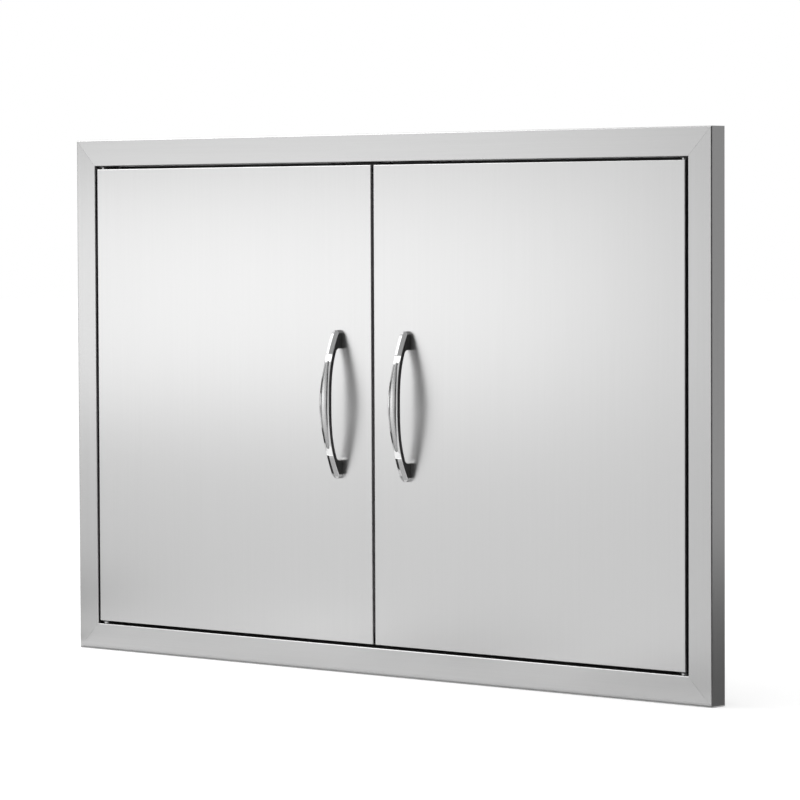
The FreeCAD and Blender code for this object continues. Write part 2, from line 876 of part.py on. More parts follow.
def all_pieces():
    """The named pieces of the whole door set."""
    pieces = {
        "frame_top_rail": frame_rail(TOP),
        "frame_bottom_rail": frame_rail(BOTTOM),
        "frame_left_stile": frame_stile(LEFT),
        "frame_right_stile": frame_stile(RIGHT),
        "frame_top_stop": top_stop(),
        "frame_bottom_stop": bottom_stop(),
        "frame_left_stop": stile_stop(LEFT),
        "frame_right_stop": stile_stop(RIGHT),
    }
    makers = {
        "door_skin": door_skin,
        "door_liner": door_liner,
        "liner_rivets": liner_rivets,
        "handle": handle,
        "handle_screws": handle_screws,
        "handle_washers": handle_washers,
        "access_plugs": access_plugs,
        "strike_plate": strike_plate,
        "strike_rivet": strike_rivet,
        "top_bushing": top_bushing,
        "bottom_bushing": bottom_bushing,
        "bottom_stud": bottom_stud,
        "thrust_washer": thrust_washer,
        "hinge_pin": hinge_pin,
        "pin_clip": pin_clip,
        "pin_tab": pin_tab,
        "pin_spring": pin_spring,
        "pin_bracket": pin_bracket,
        "catch_housing": catch_housing,
        "catch_magnet": catch_magnet,
        "catch_poles": catch_poles,
        "catch_screws": catch_screws,
    }
    for name, make in makers.items():
        pieces["left_" + name] = make(LEFT)
        pieces["right_" + name] = make(RIGHT)
    return pieces


def main():
    os.makedirs("parts", exist_ok=True)
    for name, shape in all_pieces().items():
        shape.exportStep(os.path.join("parts", name + ".step"))
        state = "valid" if shape.isValid() else "INVALID"
        print(name, state, len(shape.Solids), "solids", round(shape.Volume, 1), "mm3")
    spring_gap = (spring_length - spring_wire) / spring_turns - spring_wire
    print("least gap between spring turns", round(spring_gap, 2), "mm")


if __name__ == "__main__":
    main()
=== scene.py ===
"""Looks of a built-in double access door, laid out as a Blender add-on.

Every piece is modelled in metres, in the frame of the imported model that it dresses.
"""

import math

import bmesh
import bpy
from bpy.props import FloatProperty, FloatVectorProperty, IntProperty, PointerProperty
from mathutils import Euler, Matrix, Vector


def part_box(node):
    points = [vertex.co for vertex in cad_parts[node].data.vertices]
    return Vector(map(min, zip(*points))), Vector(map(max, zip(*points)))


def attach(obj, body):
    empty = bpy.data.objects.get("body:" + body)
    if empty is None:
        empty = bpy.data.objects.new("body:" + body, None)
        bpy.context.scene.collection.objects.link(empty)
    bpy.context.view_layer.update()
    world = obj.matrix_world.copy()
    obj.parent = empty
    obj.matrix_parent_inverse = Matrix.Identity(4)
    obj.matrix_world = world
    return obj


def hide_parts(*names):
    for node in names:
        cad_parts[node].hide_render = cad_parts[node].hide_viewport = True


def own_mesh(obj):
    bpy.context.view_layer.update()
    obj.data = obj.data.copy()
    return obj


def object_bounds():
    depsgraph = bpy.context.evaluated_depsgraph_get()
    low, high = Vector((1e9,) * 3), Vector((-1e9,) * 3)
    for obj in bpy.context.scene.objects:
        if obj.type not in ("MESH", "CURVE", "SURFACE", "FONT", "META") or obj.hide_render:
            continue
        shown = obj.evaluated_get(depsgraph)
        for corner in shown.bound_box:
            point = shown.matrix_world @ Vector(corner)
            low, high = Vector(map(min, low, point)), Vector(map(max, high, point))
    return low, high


bl_info = {
    "name": "Double Access Door",
    "version": (1, 0, 0),
    "blender": (4, 5, 0),
    "location": "3D View > Sidebar > Access Door",
    "description": "Models and dresses a built-in double access door with bow handles",
    "category": "Object",
}

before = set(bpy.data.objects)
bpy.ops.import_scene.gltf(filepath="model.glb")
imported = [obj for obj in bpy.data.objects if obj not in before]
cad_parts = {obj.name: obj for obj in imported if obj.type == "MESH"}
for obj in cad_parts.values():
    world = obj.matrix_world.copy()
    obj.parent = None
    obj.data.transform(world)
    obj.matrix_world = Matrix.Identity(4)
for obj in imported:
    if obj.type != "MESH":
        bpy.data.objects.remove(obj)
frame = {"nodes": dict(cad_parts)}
CAD_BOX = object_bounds()

# A millimetre, the distance within which places count as one, and that within which points are merged
MM = 0.001
TINY = 0.02 * MM
MERGE = 0.001 * MM

# Cosine above which two directions count as the same, and a quarter turn
ALIGNED = 0.999
QUARTER = math.pi / 2

# Steps in a rounded edge, sides of small and wide round pieces, and length of a drill in thicknesses
ROUND_STEPS = 6
SMALL_SIDES = 32
WIDE_SIDES = 48
DRILL_LENGTH = 4

SIDES = ("left", "right")

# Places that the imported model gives
TOP_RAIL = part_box("frame_top_rail")
FRONT_Y = TOP_RAIL[0].y
THROAT_Y = TOP_RAIL[1].y
HALF_WIDTH = TOP_RAIL[1].x
HALF_HEIGHT = TOP_RAIL[1].z
FACE_WIDTH = TOP_RAIL[1].z - TOP_RAIL[0].z
HANDLE_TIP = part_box("left_handle")[1].z
LINER_BACK_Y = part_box("left_door_liner")[1].y
FLOOR_Z = CAD_BOX[0].z


def linear(colour):
    """Linear colour of an sRGB hex value."""
    shares = [int(colour[i:i + 2], 16) / 255 for i in (1, 3, 5)]
    return [c / 12.92 if c <= 0.04045 else ((c + 0.055) / 1.055) ** 2.4 for c in shares]


# Settings that a user would change

def size(name, description, millimetres):
    """A length setting, given in millimetres and kept in metres."""
    return FloatProperty(
        name=name, description=description, default=millimetres * MM, min=0, unit="LENGTH", precision=5)


def tint(name, description, colour):
    """A colour setting, given as an sRGB hex value."""
    return FloatVectorProperty(
        name=name, description=description, default=linear(colour), min=0, max=1, subtype="COLOR")


def angle(name, description, degrees):
    """An angle setting, given in degrees and kept in radians."""
    return FloatProperty(
        name=name, description=description, default=math.radians(degrees), subtype="ANGLE")


def power(name, description, watts):
    """A lamp's power setting, in watts."""
    return FloatProperty(name=name, description=description, default=watts, min=0, unit="POWER")


class FrameSizes(bpy.types.PropertyGroup):
    """Sizes of the folded frame that its outline doesn't give."""
    sheet: size("Sheet", "Thickness of the frame's sheet", 1.2)
    bend: size("Bend", "Outside radius of the frame's folds", 1.3)
    seam: size("Mitre seam", "Half the hairline between two members at a mitre", 0.07)
    hole: size("Wall hole", "Diameter of the holes for the wall screws", 5.5)
    hole_setback: size("Hole setback", "Distance of the wall holes behind the lip's rim", 14.0)
    rail_holes: size("Rail hole spacing", "Distance between a rail's wall holes", 560.0)
    stile_holes: size("Stile hole spacing", "Distance between a stile's wall holes", 360.0)


class DoorSizes(bpy.types.PropertyGroup):
    """Sizes of the doors that their outlines don't give."""
    sheet: size("Sheet", "Thickness of a door's skin", 1.0)
    bend: size("Bend", "Outside radius of a skin's folds", 1.0)
    flange: size("Flange", "Width of the skin's back flange", 15.0)
    rivet_head: size("Rivet head", "Diameter of a liner rivet's head", 6.4)
    rivet_rise: size("Rivet rise", "Height of a liner rivet's head", 1.2)
    rivet_inset: size("Rivet inset", "Distance of the rivets from a door's edges", 7.5)
    rivet_end: size("End rivet inset", "Distance of a row's end rivets from a door's upright edges", 63.5)
    rivet_spacing: size("Side rivet spacing", "Distance between the rivets at a door's side", 180.0)


class HandleSizes(bpy.types.PropertyGroup):
    """Sizes of a bow handle."""
    height: size("Bow height", "Height of the bow's front over the door", 21.6)
    clearance: size("Finger clearance", "Height of the bow's underside over the door", 17.2)
    middle_width: size("Middle width", "Width of the bow at its middle", 13.2)
    neck_width: size("Neck width", "Width of the bow at its necks", 9.0)
    neck_inset: size("Neck inset", "Distance of a neck from its tip", 25.5)
    heel_thickness: size("Heel thickness", "Thickness of the bow where it meets a foot", 4.96)
    front_round: size("Front round", "Radius along the bow's front edges", 0.8)
    back_round: size("Back round", "Radius along the bow's back edges", 1.4)
    foot_width: size("Foot width", "Width of a foot", 9.6)
    foot_length: size("Foot length", "Length of a foot", 18.0)
    foot_tip: size("Tip height", "Height of a foot at its tip", 3.8)
    foot_root: size("Root radius", "Radius inside the bow where it meets a foot", 3.0)
    ridge: size("Arm ridge", "Height of the ridge along the arms between necks and tips", 1.4)
    middle_ridge: size("Middle ridge", "Height of the ridge under the grip, which leans the bow's rims", 1.1)
    grip_length: size("Grip length", "Length of the raised grip", 88.0)
    grip_middle: size("Grip width", "Width of the grip at its middle", 10.0)
    grip_end: size("Grip end width", "Width of the grip at its ends", 4.6)
    grip_rise: size("Grip rise", "Height of the grip over the bow at its middle", 1.8)
    grip_end_rise: size("Grip end rise", "Height of the grip over the bow at its ends", 1.2)
    grip_sink: size("Grip sink", "Depth of the grip's widest line in the bow", 0.8)


class CatchSizes(bpy.types.PropertyGroup):
    """Sizes of the magnetic catches, their strike plates and the plugs over the handle screws."""
    ear: size("Ear", "Thickness of a catch's ears", 2.6)
    body: size("Body length", "Length of a catch's body", 30.0)
    edge: size("Edge round", "Radius along the moulded edges", 0.5)
    screw_head: size("Screw head", "Diameter of a catch screw's head", 6.5)
    screw_rise: size("Screw rise", "Height of a catch screw's head", 2.2)
    screw: size("Screw", "Diameter of a catch screw", 3.5)
    screw_point: size("Screw point", "Length of a catch screw's tapered point", 0.8)
    recess: size("Recess", "Length of the slots in a catch screw's head", 3.2)
    recess_width: size("Recess width", "Width of the slots in a catch screw's head", 0.7)
    strike_corner: size("Strike corner", "Radius of a strike plate's corners", 2.0)
    strike_edge: size("Strike edge", "Width of a strike plate's broken edges", 0.2)
    plug: size("Plug", "Diameter of a plug's flange", 15.5)
    plug_rise: size("Plug rise", "Height of a plug's flange", 1.4)
    plug_hole: size("Plug hole", "Diameter of the hole that a plug closes", 12.0)


class PivotSizes(bpy.types.PropertyGroup):
    """Sizes of the springs that push the upper pins up, and of the thrust washers."""
    wire: size("Spring wire", "Thickness of a spring's wire", 0.8)
    turns: IntProperty(name="Spring turns", description="Number of a spring's turns", default=7, min=1)
    bore: size("Washer bore", "Diameter of a thrust washer's hole", 5.2)
    play: size("Washer play", "Room over a thrust washer, in which the door turns", 0.05)
    edge: size("Washer edge", "Height of a thrust washer's broken edges", 0.1)


class Finishes(bpy.types.PropertyGroup):
    """Colours of the materials."""
    door: tint("Door steel", "Brushed stainless sheet of the doors", "#C2C2C2")
    door_grain: tint("Door grain", "Darker scratches of the doors", "#C0C0C0")
    frame: tint("Frame steel", "Brushed stainless sheet of the frame", "#B9B9B9")
    frame_grain: tint("Frame grain", "Darker scratches of the frame", "#B6B6B6")
    # Painted shade: the stop angles are coloured black so that the gaps round the doors read as shade
    coat: tint("Powder coat", "Matt black coat of the stop angles", "#141414")
    coat_peel: tint("Coat peel", "Paler marks of the powder coat", "#1C1C1C")
    liner: tint("Mill steel", "Stainless sheet as it leaves the mill", "#BDBDBD")
    chrome: tint("Chrome", "Plating of the handles and grips", "#C8C8C8")
    chrome_marks: tint("Chrome marks", "Darker ripple and lines of the plating", "#C0C0C0")
    zinc: tint("Zinc plating", "Plated steel of the poles and strike plates", "#B4B8BC")
    hinge: tint("Hinge steel", "Turned and folded stainless hinge pieces", "#B8B9BA")
    nylon: tint("Nylon", "Black nylon of the bushings", "#1B1B1C")
    nylon_flow: tint("Nylon flow", "Paler flow marks of the nylon", "#242425")
    plastic: tint("Black plastic", "Moulded plastic of the catches and plugs", "#1C1C1E")
    plastic_grain: tint("Plastic grain", "Paler grain of the moulded plastic", "#262628")
    ferrite: tint("Ferrite", "Sintered magnet", "#3B3B3D")
    ferrite_grain: tint("Ferrite grain", "Paler grain of the sintered magnet", "#555558")
    paper: tint("Paper", "White paper of the floor", "#EFEFEF")


class Studio(bpy.types.PropertyGroup):
    """Camera, lamps and ground."""
    yaw: angle("Yaw", "Turn of the camera to the right of the front", 41.986)
    pitch: angle("Pitch", "Tilt of the camera below level", 2.504)
    roll: angle("Roll", "Turn of the camera about its own line of sight", -0.235)
    place: FloatVectorProperty(
        name="Place", description="Place of the camera before the middle of the frame's face",
        default=(2.6997, -2.9600, 0.1804), subtype="TRANSLATION", unit="LENGTH")
    lens: FloatProperty(name="Lens", description="Focal length in millimetres", default=183.62)
    sensor: FloatProperty(name="Sensor", description="Width of the sensor in millimetres", default=36.0)
    key_power: power("Key power", "Power of the key lamp", 0.82)
    arm_power: power("Arm power", "Power of the lamp seen in the handles' arms", 1.7)
    neck_power: power("Neck power", "Power of the lamp seen in the handles' necks", 1.05)
    top_power: power("Top power", "Power of the top lamp", 9.0)
    ambient: FloatProperty(name="Ambient", description="Strength of the light from all round", default=0.7)
    floor: size("Floor", "Side of the square floor", 30000.0)
    floor_glow: FloatProperty(
        name="Floor glow", description="Light that lifts the floor to white", default=0.45)


class DoorSetSettings(bpy.types.PropertyGroup):
    """All settings of the door set."""
    frame: PointerProperty(type=FrameSizes)
    door: PointerProperty(type=DoorSizes)
    handle: PointerProperty(type=HandleSizes)
    catch: PointerProperty(type=CatchSizes)
    pivot: PointerProperty(type=PivotSizes)
    finish: PointerProperty(type=Finishes)
    studio: PointerProperty(type=Studio)


def settings():
    """The scene's settings of the door set."""
    return bpy.context.scene.access_door


# Steps that the pieces share

def activate(piece):
    """Makes a piece the only one selected, out of edit mode."""
    if bpy.context.mode != "OBJECT":
        bpy.ops.object.mode_set(mode="OBJECT")
    bpy.ops.object.select_all(action="DESELECT")
    piece.select_set(True)
    bpy.context.view_layer.objects.active = piece


def opened(name):
    """Puts the place of the primitive just added in its mesh, and opens it for editing."""
    piece = bpy.context.object
    piece.name = name
    piece.data.name = name
    bpy.ops.object.transform_apply(location=True, rotation=True, scale=True)
    bpy.ops.object.mode_set(mode="EDIT")
    return piece


def cuboid(name, low, high):
    """Block between two corners, open for editing."""
    low, high = Vector(low), Vector(high)
    bpy.ops.mesh.primitive_cube_add(size=1, location=(low + high) / 2)
    bpy.context.object.scale = high - low
    return opened(name)


def pick(kind, test):
    """Selects the vertices, edges or faces for which a test holds, and nothing else."""
    bpy.ops.mesh.select_mode(type=kind)
    bpy.ops.mesh.select_all(action="DESELECT")
    mesh = bmesh.from_edit_mesh(bpy.context.object.data)
    items = {"VERT": mesh.verts, "EDGE": mesh.edges, "FACE": mesh.faces}[kind]
    for item in items:
        if test(item):
            item.select_set(True)
    mesh.select_flush_mode()
    bmesh.update_edit_mesh(bpy.context.object.data)


def middle(item):
    """Middle of an edge or a face."""
    return sum((v.co for v in item.verts), Vector()) / len(item.verts)


def along(edge, axis):
    """True for an edge parallel to an axis, 0 to 2."""
    run = edge.verts[1].co - edge.verts[0].co
    return abs(run[axis]) > ALIGNED * run.length


def extrude(move):
    """Extrudes the selection by a move."""
    bpy.ops.mesh.extrude_region_move(TRANSFORM_OT_translate={"value": move})


def round_edges(radius):
    """Rounds the selected edges."""
    bpy.ops.mesh.bevel(offset=radius, segments=ROUND_STEPS, affect="EDGES")


def cut_at(places, axis):
    """Cuts rings through the whole mesh at places along an axis."""
    normal = [0, 0, 0]
    normal[axis] = 1
    for place in places:
        bpy.ops.mesh.select_all(action="SELECT")
        point = [0, 0, 0]
        point[axis] = place
        bpy.ops.mesh.bisect(plane_co=point, plane_no=normal)


def apply_modifier(piece, kind, **values):
    """Adds a modifier with its values and applies it."""
    activate(piece)
    modifier = piece.modifiers.new(kind.title(), kind)
    for name, value in values.items():
        setattr(modifier, name, value)
    bpy.ops.object.modifier_apply(modifier=modifier.name)


def thicken(piece, sheet):
    """Gives a folded face the thickness of its sheet, inwards."""
    apply_modifier(piece, "SOLIDIFY", thickness=sheet, offset=-1, use_even_offset=True)


def cut_away(piece, cutter):
    """Cuts the shape of a cutter out of a piece. The cutter is used up."""
    apply_modifier(piece, "BOOLEAN", object=cutter, operation="DIFFERENCE", solver="EXACT")
    bpy.data.objects.remove(cutter)


def drill(piece, centre, diameter, thickness):
    """Cuts an upright round hole through a thickness."""
    activate(piece)
    bpy.ops.mesh.primitive_cylinder_add(
        vertices=SMALL_SIDES, radius=diameter / 2, depth=DRILL_LENGTH * thickness, location=centre)
    cut_away(piece, bpy.context.object)


def smooth(piece, degrees=35):
    """Shades rounds as smooth and keeps flat faces flat."""
    activate(piece)
    bpy.ops.object.shade_smooth_by_angle(angle=math.radians(degrees))
    apply_modifier(piece, "WEIGHTED_NORMAL", weight=100, keep_sharp=True)


def outward(piece):
    """Merges doubles and turns all faces outward."""
    activate(piece)
    bpy.ops.object.mode_set(mode="EDIT")
    bpy.ops.mesh.select_all(action="SELECT")
    bpy.ops.mesh.remove_doubles(threshold=MERGE)
    bpy.ops.mesh.normals_make_consistent(inside=False)
    bpy.ops.object.mode_set(mode="OBJECT")


def scaled(outline, radius, height):
    """Outline of a round piece at its full size, from shares of a radius and a height."""
    return [(across * radius, up * height) for across, up in outline]


def turned(name, outline, vertices=SMALL_SIDES):
    """Round piece about Z, drawn from a disc through an outline of (radius, height) steps."""
    radius, height = outline[0]
    bpy.ops.mesh.primitive_circle_add(
        vertices=vertices, radius=radius, fill_type="NGON", location=(0, 0, height))
    piece = opened(name)
    bpy.ops.mesh.select_all(action="SELECT")
    for next_radius, next_height in outline[1:]:
        extrude((0, 0, next_height - height))
        share = next_radius / radius
        bpy.ops.transform.resize(value=(share, share, 1), center_override=(0, 0, next_height))
        radius, height = next_radius, next_height
    outward(piece)
    return piece


def placed(piece, place=(0, 0, 0), turn=(0, 0, 0)):
    """Moves and turns a piece, and puts that in its mesh."""
    activate(piece)
    piece.rotation_euler = turn
    piece.location = place
    bpy.ops.object.transform_apply(location=True, rotation=True, scale=True)
    return piece


def copies(piece, places, name):
    """One piece made of copies of another at several places. The first is used up."""
    made = []
    for place in places:
        activate(piece)
        bpy.ops.object.duplicate(linked=False)
        made.append(placed(bpy.context.object, place))
    bpy.data.objects.remove(piece)
    activate(made[0])
    for other in made[1:]:
        other.select_set(True)
    bpy.ops.object.join()
    joined = bpy.context.object
    joined.name = name
    joined.data.name = name
    return joined


def hand_over(piece, body, material, slot, *nodes):
    """Gives a finished piece its material and its body, and hides the imported nodes that it stands for. slot
    is not used.
    """
    piece.data.materials.clear()
    piece.data.materials.append(material)
    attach(piece, body)
    if nodes:
        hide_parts(*nodes)


# Materials

METAL = {"Metallic": 1.0}

# Sizes in millimetres of the scratches of level and of upright brushing
LEVEL_GRAIN = (130, 1, 1)
UPRIGHT_GRAIN = (1, 1, 130)

# Distances from a grip's middle between which its colour is darkened as painted shade, leaving a painted
# highlight in its middle, and the share of its colour left
PAINTED_SHADE_FROM = 8 * MM
PAINTED_SHADE_TO = 45 * MM
PAINTED_SHADE_SHARE = 0.5

# Values of a noise between which its marks go from one colour to the other
MARKS_FROM = 0.25
MARKS_TO = 0.75

# Sockets of a colour mix, by number because other sockets share their names
MIX_SHARE, MIX_FIRST, MIX_SECOND = 0, 6, 7
MIX_RESULT = 2


def add_node(tree, kind, inputs=None, **values):
    """Adds a node with its settings. inputs maps sockets to values or to other nodes' outputs."""
    made = tree.nodes.new(kind)
    for name, value in values.items():
        setattr(made, name, value)
    for socket, value in (inputs or {}).items():
        if isinstance(value, bpy.types.NodeSocket):
            tree.links.new(value, made.inputs[socket])
        else:
            made.inputs[socket].default_value = value
    return made


def new_material(name):
    """Material with an empty node tree."""
    material = bpy.data.materials.new(name)
    material.use_nodes = True
    material.node_tree.nodes.clear()
    return material


def patterned(name, colours, blotch, roughness, depth, shader_inputs, detail=3.0):
    """Material whose colour, roughness and relief follow one noise.

    colours names two finish settings. blotch gives the size of its marks along X, Y and Z, and depth
    that of its relief, in millimetres.
    """
    first, second = [(*getattr(settings().finish, colour), 1) for colour in colours]
    material = new_material(name)
    tree = material.node_tree
    place = add_node(tree, "ShaderNodeTexCoord").outputs["Object"]
    scale = [1 / (side * MM) for side in blotch]
    place = add_node(tree, "ShaderNodeMapping", {"Vector": place, "Scale": scale}).outputs["Vector"]
    noise = add_node(tree, "ShaderNodeTexNoise", {"Vector": place, "Scale": 1.0, "Detail": detail})
    marks = {"Value": noise.outputs["Fac"], "From Min": MARKS_FROM, "From Max": MARKS_TO}
    shade = add_node(tree, "ShaderNodeMapRange", marks)
    colour = add_node(tree, "ShaderNodeMix", {
        MIX_SHARE: shade.outputs["Result"], MIX_FIRST: first, MIX_SECOND: second}, data_type="RGBA")
    dullness = add_node(tree, "ShaderNodeMapRange", {
        **marks, "To Min": roughness[0], "To Max": roughness[1]})
    relief = add_node(tree, "ShaderNodeBump", {
        "Height": noise.outputs["Fac"], "Distance": depth * MM, "Strength": 1.0})
    shader = add_node(tree, "ShaderNodeBsdfPrincipled", {
        "Base Color": colour.outputs[MIX_RESULT],
        "Roughness": dullness.outputs["Result"],
        "Normal": relief.outputs["Normal"],
        **shader_inputs})
    add_node(tree, "ShaderNodeOutputMaterial", {"Surface": shader.outputs["BSDF"]})
    return material


def brushed_stainless(name, colours, blotch, grain_turn):
    """Stainless sheet brushed with a belt: fine parallel scratches that draw highlights out across them.

    Real scratches are about 0.05 mm wide. They are drawn 1 mm wide here so that they show.
    """
    return patterned(
        name, colours, blotch, roughness=(0.286, 0.278), depth=0.0004,
        shader_inputs={**METAL, "Anisotropic": 0.3, "Anisotropic Rotation": grain_turn})


def mill_stainless():
    """Stainless sheet with its rolled mill finish: even, cloudy and a little dull."""
    return patterned(
        "Mill_Stainless", ("frame", "liner"), blotch=(35, 35, 60),
        roughness=(0.46, 0.36), depth=0.002, shader_inputs=METAL, detail=4.0)


def polished_chrome():
    """Chrome plating on a polished casting: mirror bright, with a faint ripple from the buffing wheel."""
    return patterned(
        "Polished_Chrome", ("chrome_marks", "chrome"), blotch=(6, 6, 14),
        roughness=(0.1, 0.06), depth=0.004,
        shader_inputs={**METAL, "Specular Tint": (0.3, 0.3, 0.3, 1)}, detail=2.0)


def satin_chrome():
    """Plating brushed lengthwise: a soft sheen with fine lines along the grip, and a painted highlight in its
    middle, where its colour is darkened towards the ends as painted shade.

    Real lines are under 0.1 mm wide. They are drawn 0.5 mm wide here so that they show.
    """
    material = patterned(
        "Satin_Chrome", ("chrome_marks", "chrome"), blotch=(0.5, 0.5, 30),
        roughness=(0.3, 0.26), depth=0.001,
        shader_inputs={**METAL, "Specular Tint": (0.2, 0.2, 0.2, 1)}, detail=2.0)
    tree = material.node_tree
    colour = tree.nodes["Principled BSDF"].inputs["Base Color"]
    place = add_node(tree, "ShaderNodeTexCoord").outputs["Object"]
    height = add_node(tree, "ShaderNodeSeparateXYZ", {"Vector": place}).outputs["Z"]
    reach = add_node(tree, "ShaderNodeMath", {0: height}, operation="ABSOLUTE").outputs[0]
    # Painted shade: the colour falls off from the grip's middle to its ends, leaving a painted highlight in
    # the middle
    fade = add_node(tree, "ShaderNodeMapRange", {
        "Value": reach, "From Min": PAINTED_SHADE_FROM, "From Max": PAINTED_SHADE_TO, "To Min": 1.0, "To Max": PAINTED_SHADE_SHARE})
    painted_shade_mix = add_node(tree, "ShaderNodeMix", {
        MIX_SHARE: 1.0,
        MIX_FIRST: colour.links[0].from_socket,
        MIX_SECOND: fade.outputs["Result"]}, data_type="RGBA", blend_type="MULTIPLY")
    tree.links.new(painted_shade_mix.outputs[MIX_RESULT], colour)
    return material


def plain_stainless(name, roughness):
    """Turned, drawn or pressed stainless steel: fine tool marks and a soft shine."""
    return patterned(
        name, ("hinge", "liner"), blotch=(1.5, 1.5, 0.4),
        roughness=(roughness + 0.07, roughness - 0.05), depth=0.005, shader_inputs=METAL)


def zinc_plated_steel():
    """Zinc-plated mild steel: grey, slightly blue, with a mottled passivated film."""
    return patterned(
        "Zinc_Plated_Steel", ("zinc", "liner"), blotch=(3, 3, 3),
        roughness=(0.44, 0.3), depth=0.002, shader_inputs=METAL, detail=4.0)


def black_nylon():
    """Moulded black nylon: dark and waxy, with a faint flow pattern."""
    return patterned(
        "Black_Nylon", ("nylon", "nylon_flow"), blotch=(2, 2, 2),
        roughness=(0.36, 0.48), depth=0.005, shader_inputs={"IOR": 1.53}, detail=2.0)


def shade_black_powder_coat():
    """Matt powder coat on folded steel, with a low orange peel. Its black is painted shade, which darkens the
    gaps round the doors.
    """
    return patterned(
        "Black_Powder_Coat", ("coat", "coat_peel"), blotch=(1.2, 1.2, 1.2),
        roughness=(0.6, 0.7), depth=0.02, shader_inputs={"IOR": 1.5}, detail=2.0)


def moulded_plastic():
    """Black plastic from a spark-eroded mould: dark, with a fine even grain."""
    return patterned(
        "Moulded_Black_Plastic", ("plastic", "plastic_grain"), blotch=(0.5, 0.5, 0.5),
        roughness=(0.42, 0.56), depth=0.02, shader_inputs={"IOR": 1.5}, detail=2.0)


def sintered_ferrite():
    """Sintered ferrite: dark grey ceramic with a dry, grainy face."""
    return patterned(
        "Sintered_Ferrite", ("ferrite", "ferrite_grain"), blotch=(0.4, 0.4, 0.4),
        roughness=(0.55, 0.75), depth=0.03, shader_inputs={"IOR": 2.2}, detail=4.0)


# Frame

def frame_member(name, reach, length, turn, hole_spacing, material):
    """One mitred channel, drawn as the top member and turned to its side of the frame."""
    sizes = settings().frame
    bpy.ops.mesh.primitive_plane_add(
        size=1, location=(0, FRONT_Y, reach - FACE_WIDTH / 2), rotation=(QUARTER, 0, 0))
    bpy.context.object.scale = (length, FACE_WIDTH, 1)
    piece = opened(name)

    def fold_at(z):
        def on_fold(edge):
            point = middle(edge)
            return along(edge, 0) and abs(point.z - z) < TINY and abs(point.y - FRONT_Y) < TINY
        return on_fold

    outer, inner = fold_at(reach), fold_at(reach - FACE_WIDTH)
    pick("EDGE", outer)
    extrude((0, -FRONT_Y, 0))
    pick("EDGE", inner)
    extrude((0, THROAT_Y - FRONT_Y, 0))
    pick("EDGE", lambda edge: outer(edge) or inner(edge))
    round_edges(sizes.bend)
    thicken(piece, sizes.sheet)
    bpy.ops.object.mode_set(mode="EDIT")
    for end in (-1, 1):
        bpy.ops.mesh.select_all(action="SELECT")
        bpy.ops.mesh.bisect(
            plane_co=(end * (length / 2 - sizes.seam), 0, reach), plane_no=(end, 0, -1),
            use_fill=True, clear_outer=True)
    for end in (-1, 1):
        centre = (end * hole_spacing / 2, sizes.hole_setback, reach - FACE_WIDTH)
        drill(piece, centre, sizes.hole, sizes.sheet)
    placed(piece, turn=(0, turn, 0))
    smooth(piece)
    hand_over(piece, "frame", material, "frame_steel", name.removesuffix("_folded"))


class ACCESSDOOR_OT_frame(bpy.types.Operator):
    """Model the four mitred members of the frame"""
    bl_idname = "access_door.frame"
    bl_label = "Frame"

    def execute(self, context):
        sizes = settings().frame
        colours = ("frame_grain", "frame")
        level = brushed_stainless("Brushed_Stainless_Rails", colours, LEVEL_GRAIN, grain_turn=0.25)
        upright = brushed_stainless("Brushed_Stainless_Stiles", colours, UPRIGHT_GRAIN, grain_turn=0.0)
        width, height = 2 * HALF_WIDTH, 2 * HALF_HEIGHT
        frame_member("frame_top_rail_folded", HALF_HEIGHT, width, 0, sizes.rail_holes, level)
        frame_member("frame_right_stile_folded", HALF_WIDTH, height, QUARTER, sizes.stile_holes, upright)
        frame_member("frame_bottom_rail_folded", HALF_HEIGHT, width, 2 * QUARTER, sizes.rail_holes, level)
        frame_member("frame_left_stile_folded", HALF_WIDTH, height, 3 * QUARTER, sizes.stile_holes, upright)
        return {"FINISHED"}


# Doors

# Outlines of a rivet's tail in millimetres, and of its dimpled head in shares of its radius and rise
RIVET_TAIL = ((2.0, -4.8), (2.4, -4.2), (2.4, -2.2), (1.6, -1.8), (1.6, 0))
RIVET_HEAD = (
    (1, 0), (1, 0.2), (0.93, 0.5), (0.78, 0.78), (0.56, 0.96), (0.4, 1),
    (0.33, 0.96), (0.32, 0.5), (0.26, 0.5), (0.22, 0.7))


class ACCESSDOOR_OT_door_skins(bpy.types.Operator):
    """Model the folded outer pan of each door"""
    bl_idname = "access_door.door_skins"
    bl_label = "Door skins"

    def execute(self, context):
        sizes = settings().door
        colours = ("door_grain", "door")
        material = brushed_stainless("Brushed_Stainless_Doors", colours, UPRIGHT_GRAIN, grain_turn=0.0)
        for side in SIDES:
            low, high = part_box(side + "_door_skin")
            piece = cuboid(side + "_door_skin_folded", low, high)
            pick("EDGE", lambda edge: True)
            round_edges(sizes.bend)
            pick("FACE", lambda face: face.normal.y > ALIGNED)
            bpy.ops.mesh.inset(thickness=sizes.flange - sizes.bend)
            bpy.ops.mesh.delete(type="FACE")
            thicken(piece, sizes.sheet)
            smooth(piece)
            hand_over(piece, side + "_door", material, "door_steel", side + "_door_skin")
        return {"FINISHED"}


def rivet_places(side):
    """Points on a liner's back where its rivets sit."""
    sizes = settings().door
    low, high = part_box(side + "_door_skin")
    columns = (low.x + sizes.rivet_end, (low.x + high.x) / 2, high.x - sizes.rivet_end)
    rows = (low.z + sizes.rivet_inset, high.z - sizes.rivet_inset)
    places = [(x, z) for x in columns for z in rows]
    for x in (low.x + sizes.rivet_inset, high.x - sizes.rivet_inset):
        places += [(x, z) for z in (-sizes.rivet_spacing / 2, sizes.rivet_spacing / 2)]
    return [Vector((x, LINER_BACK_Y, z)) for x, z in places]


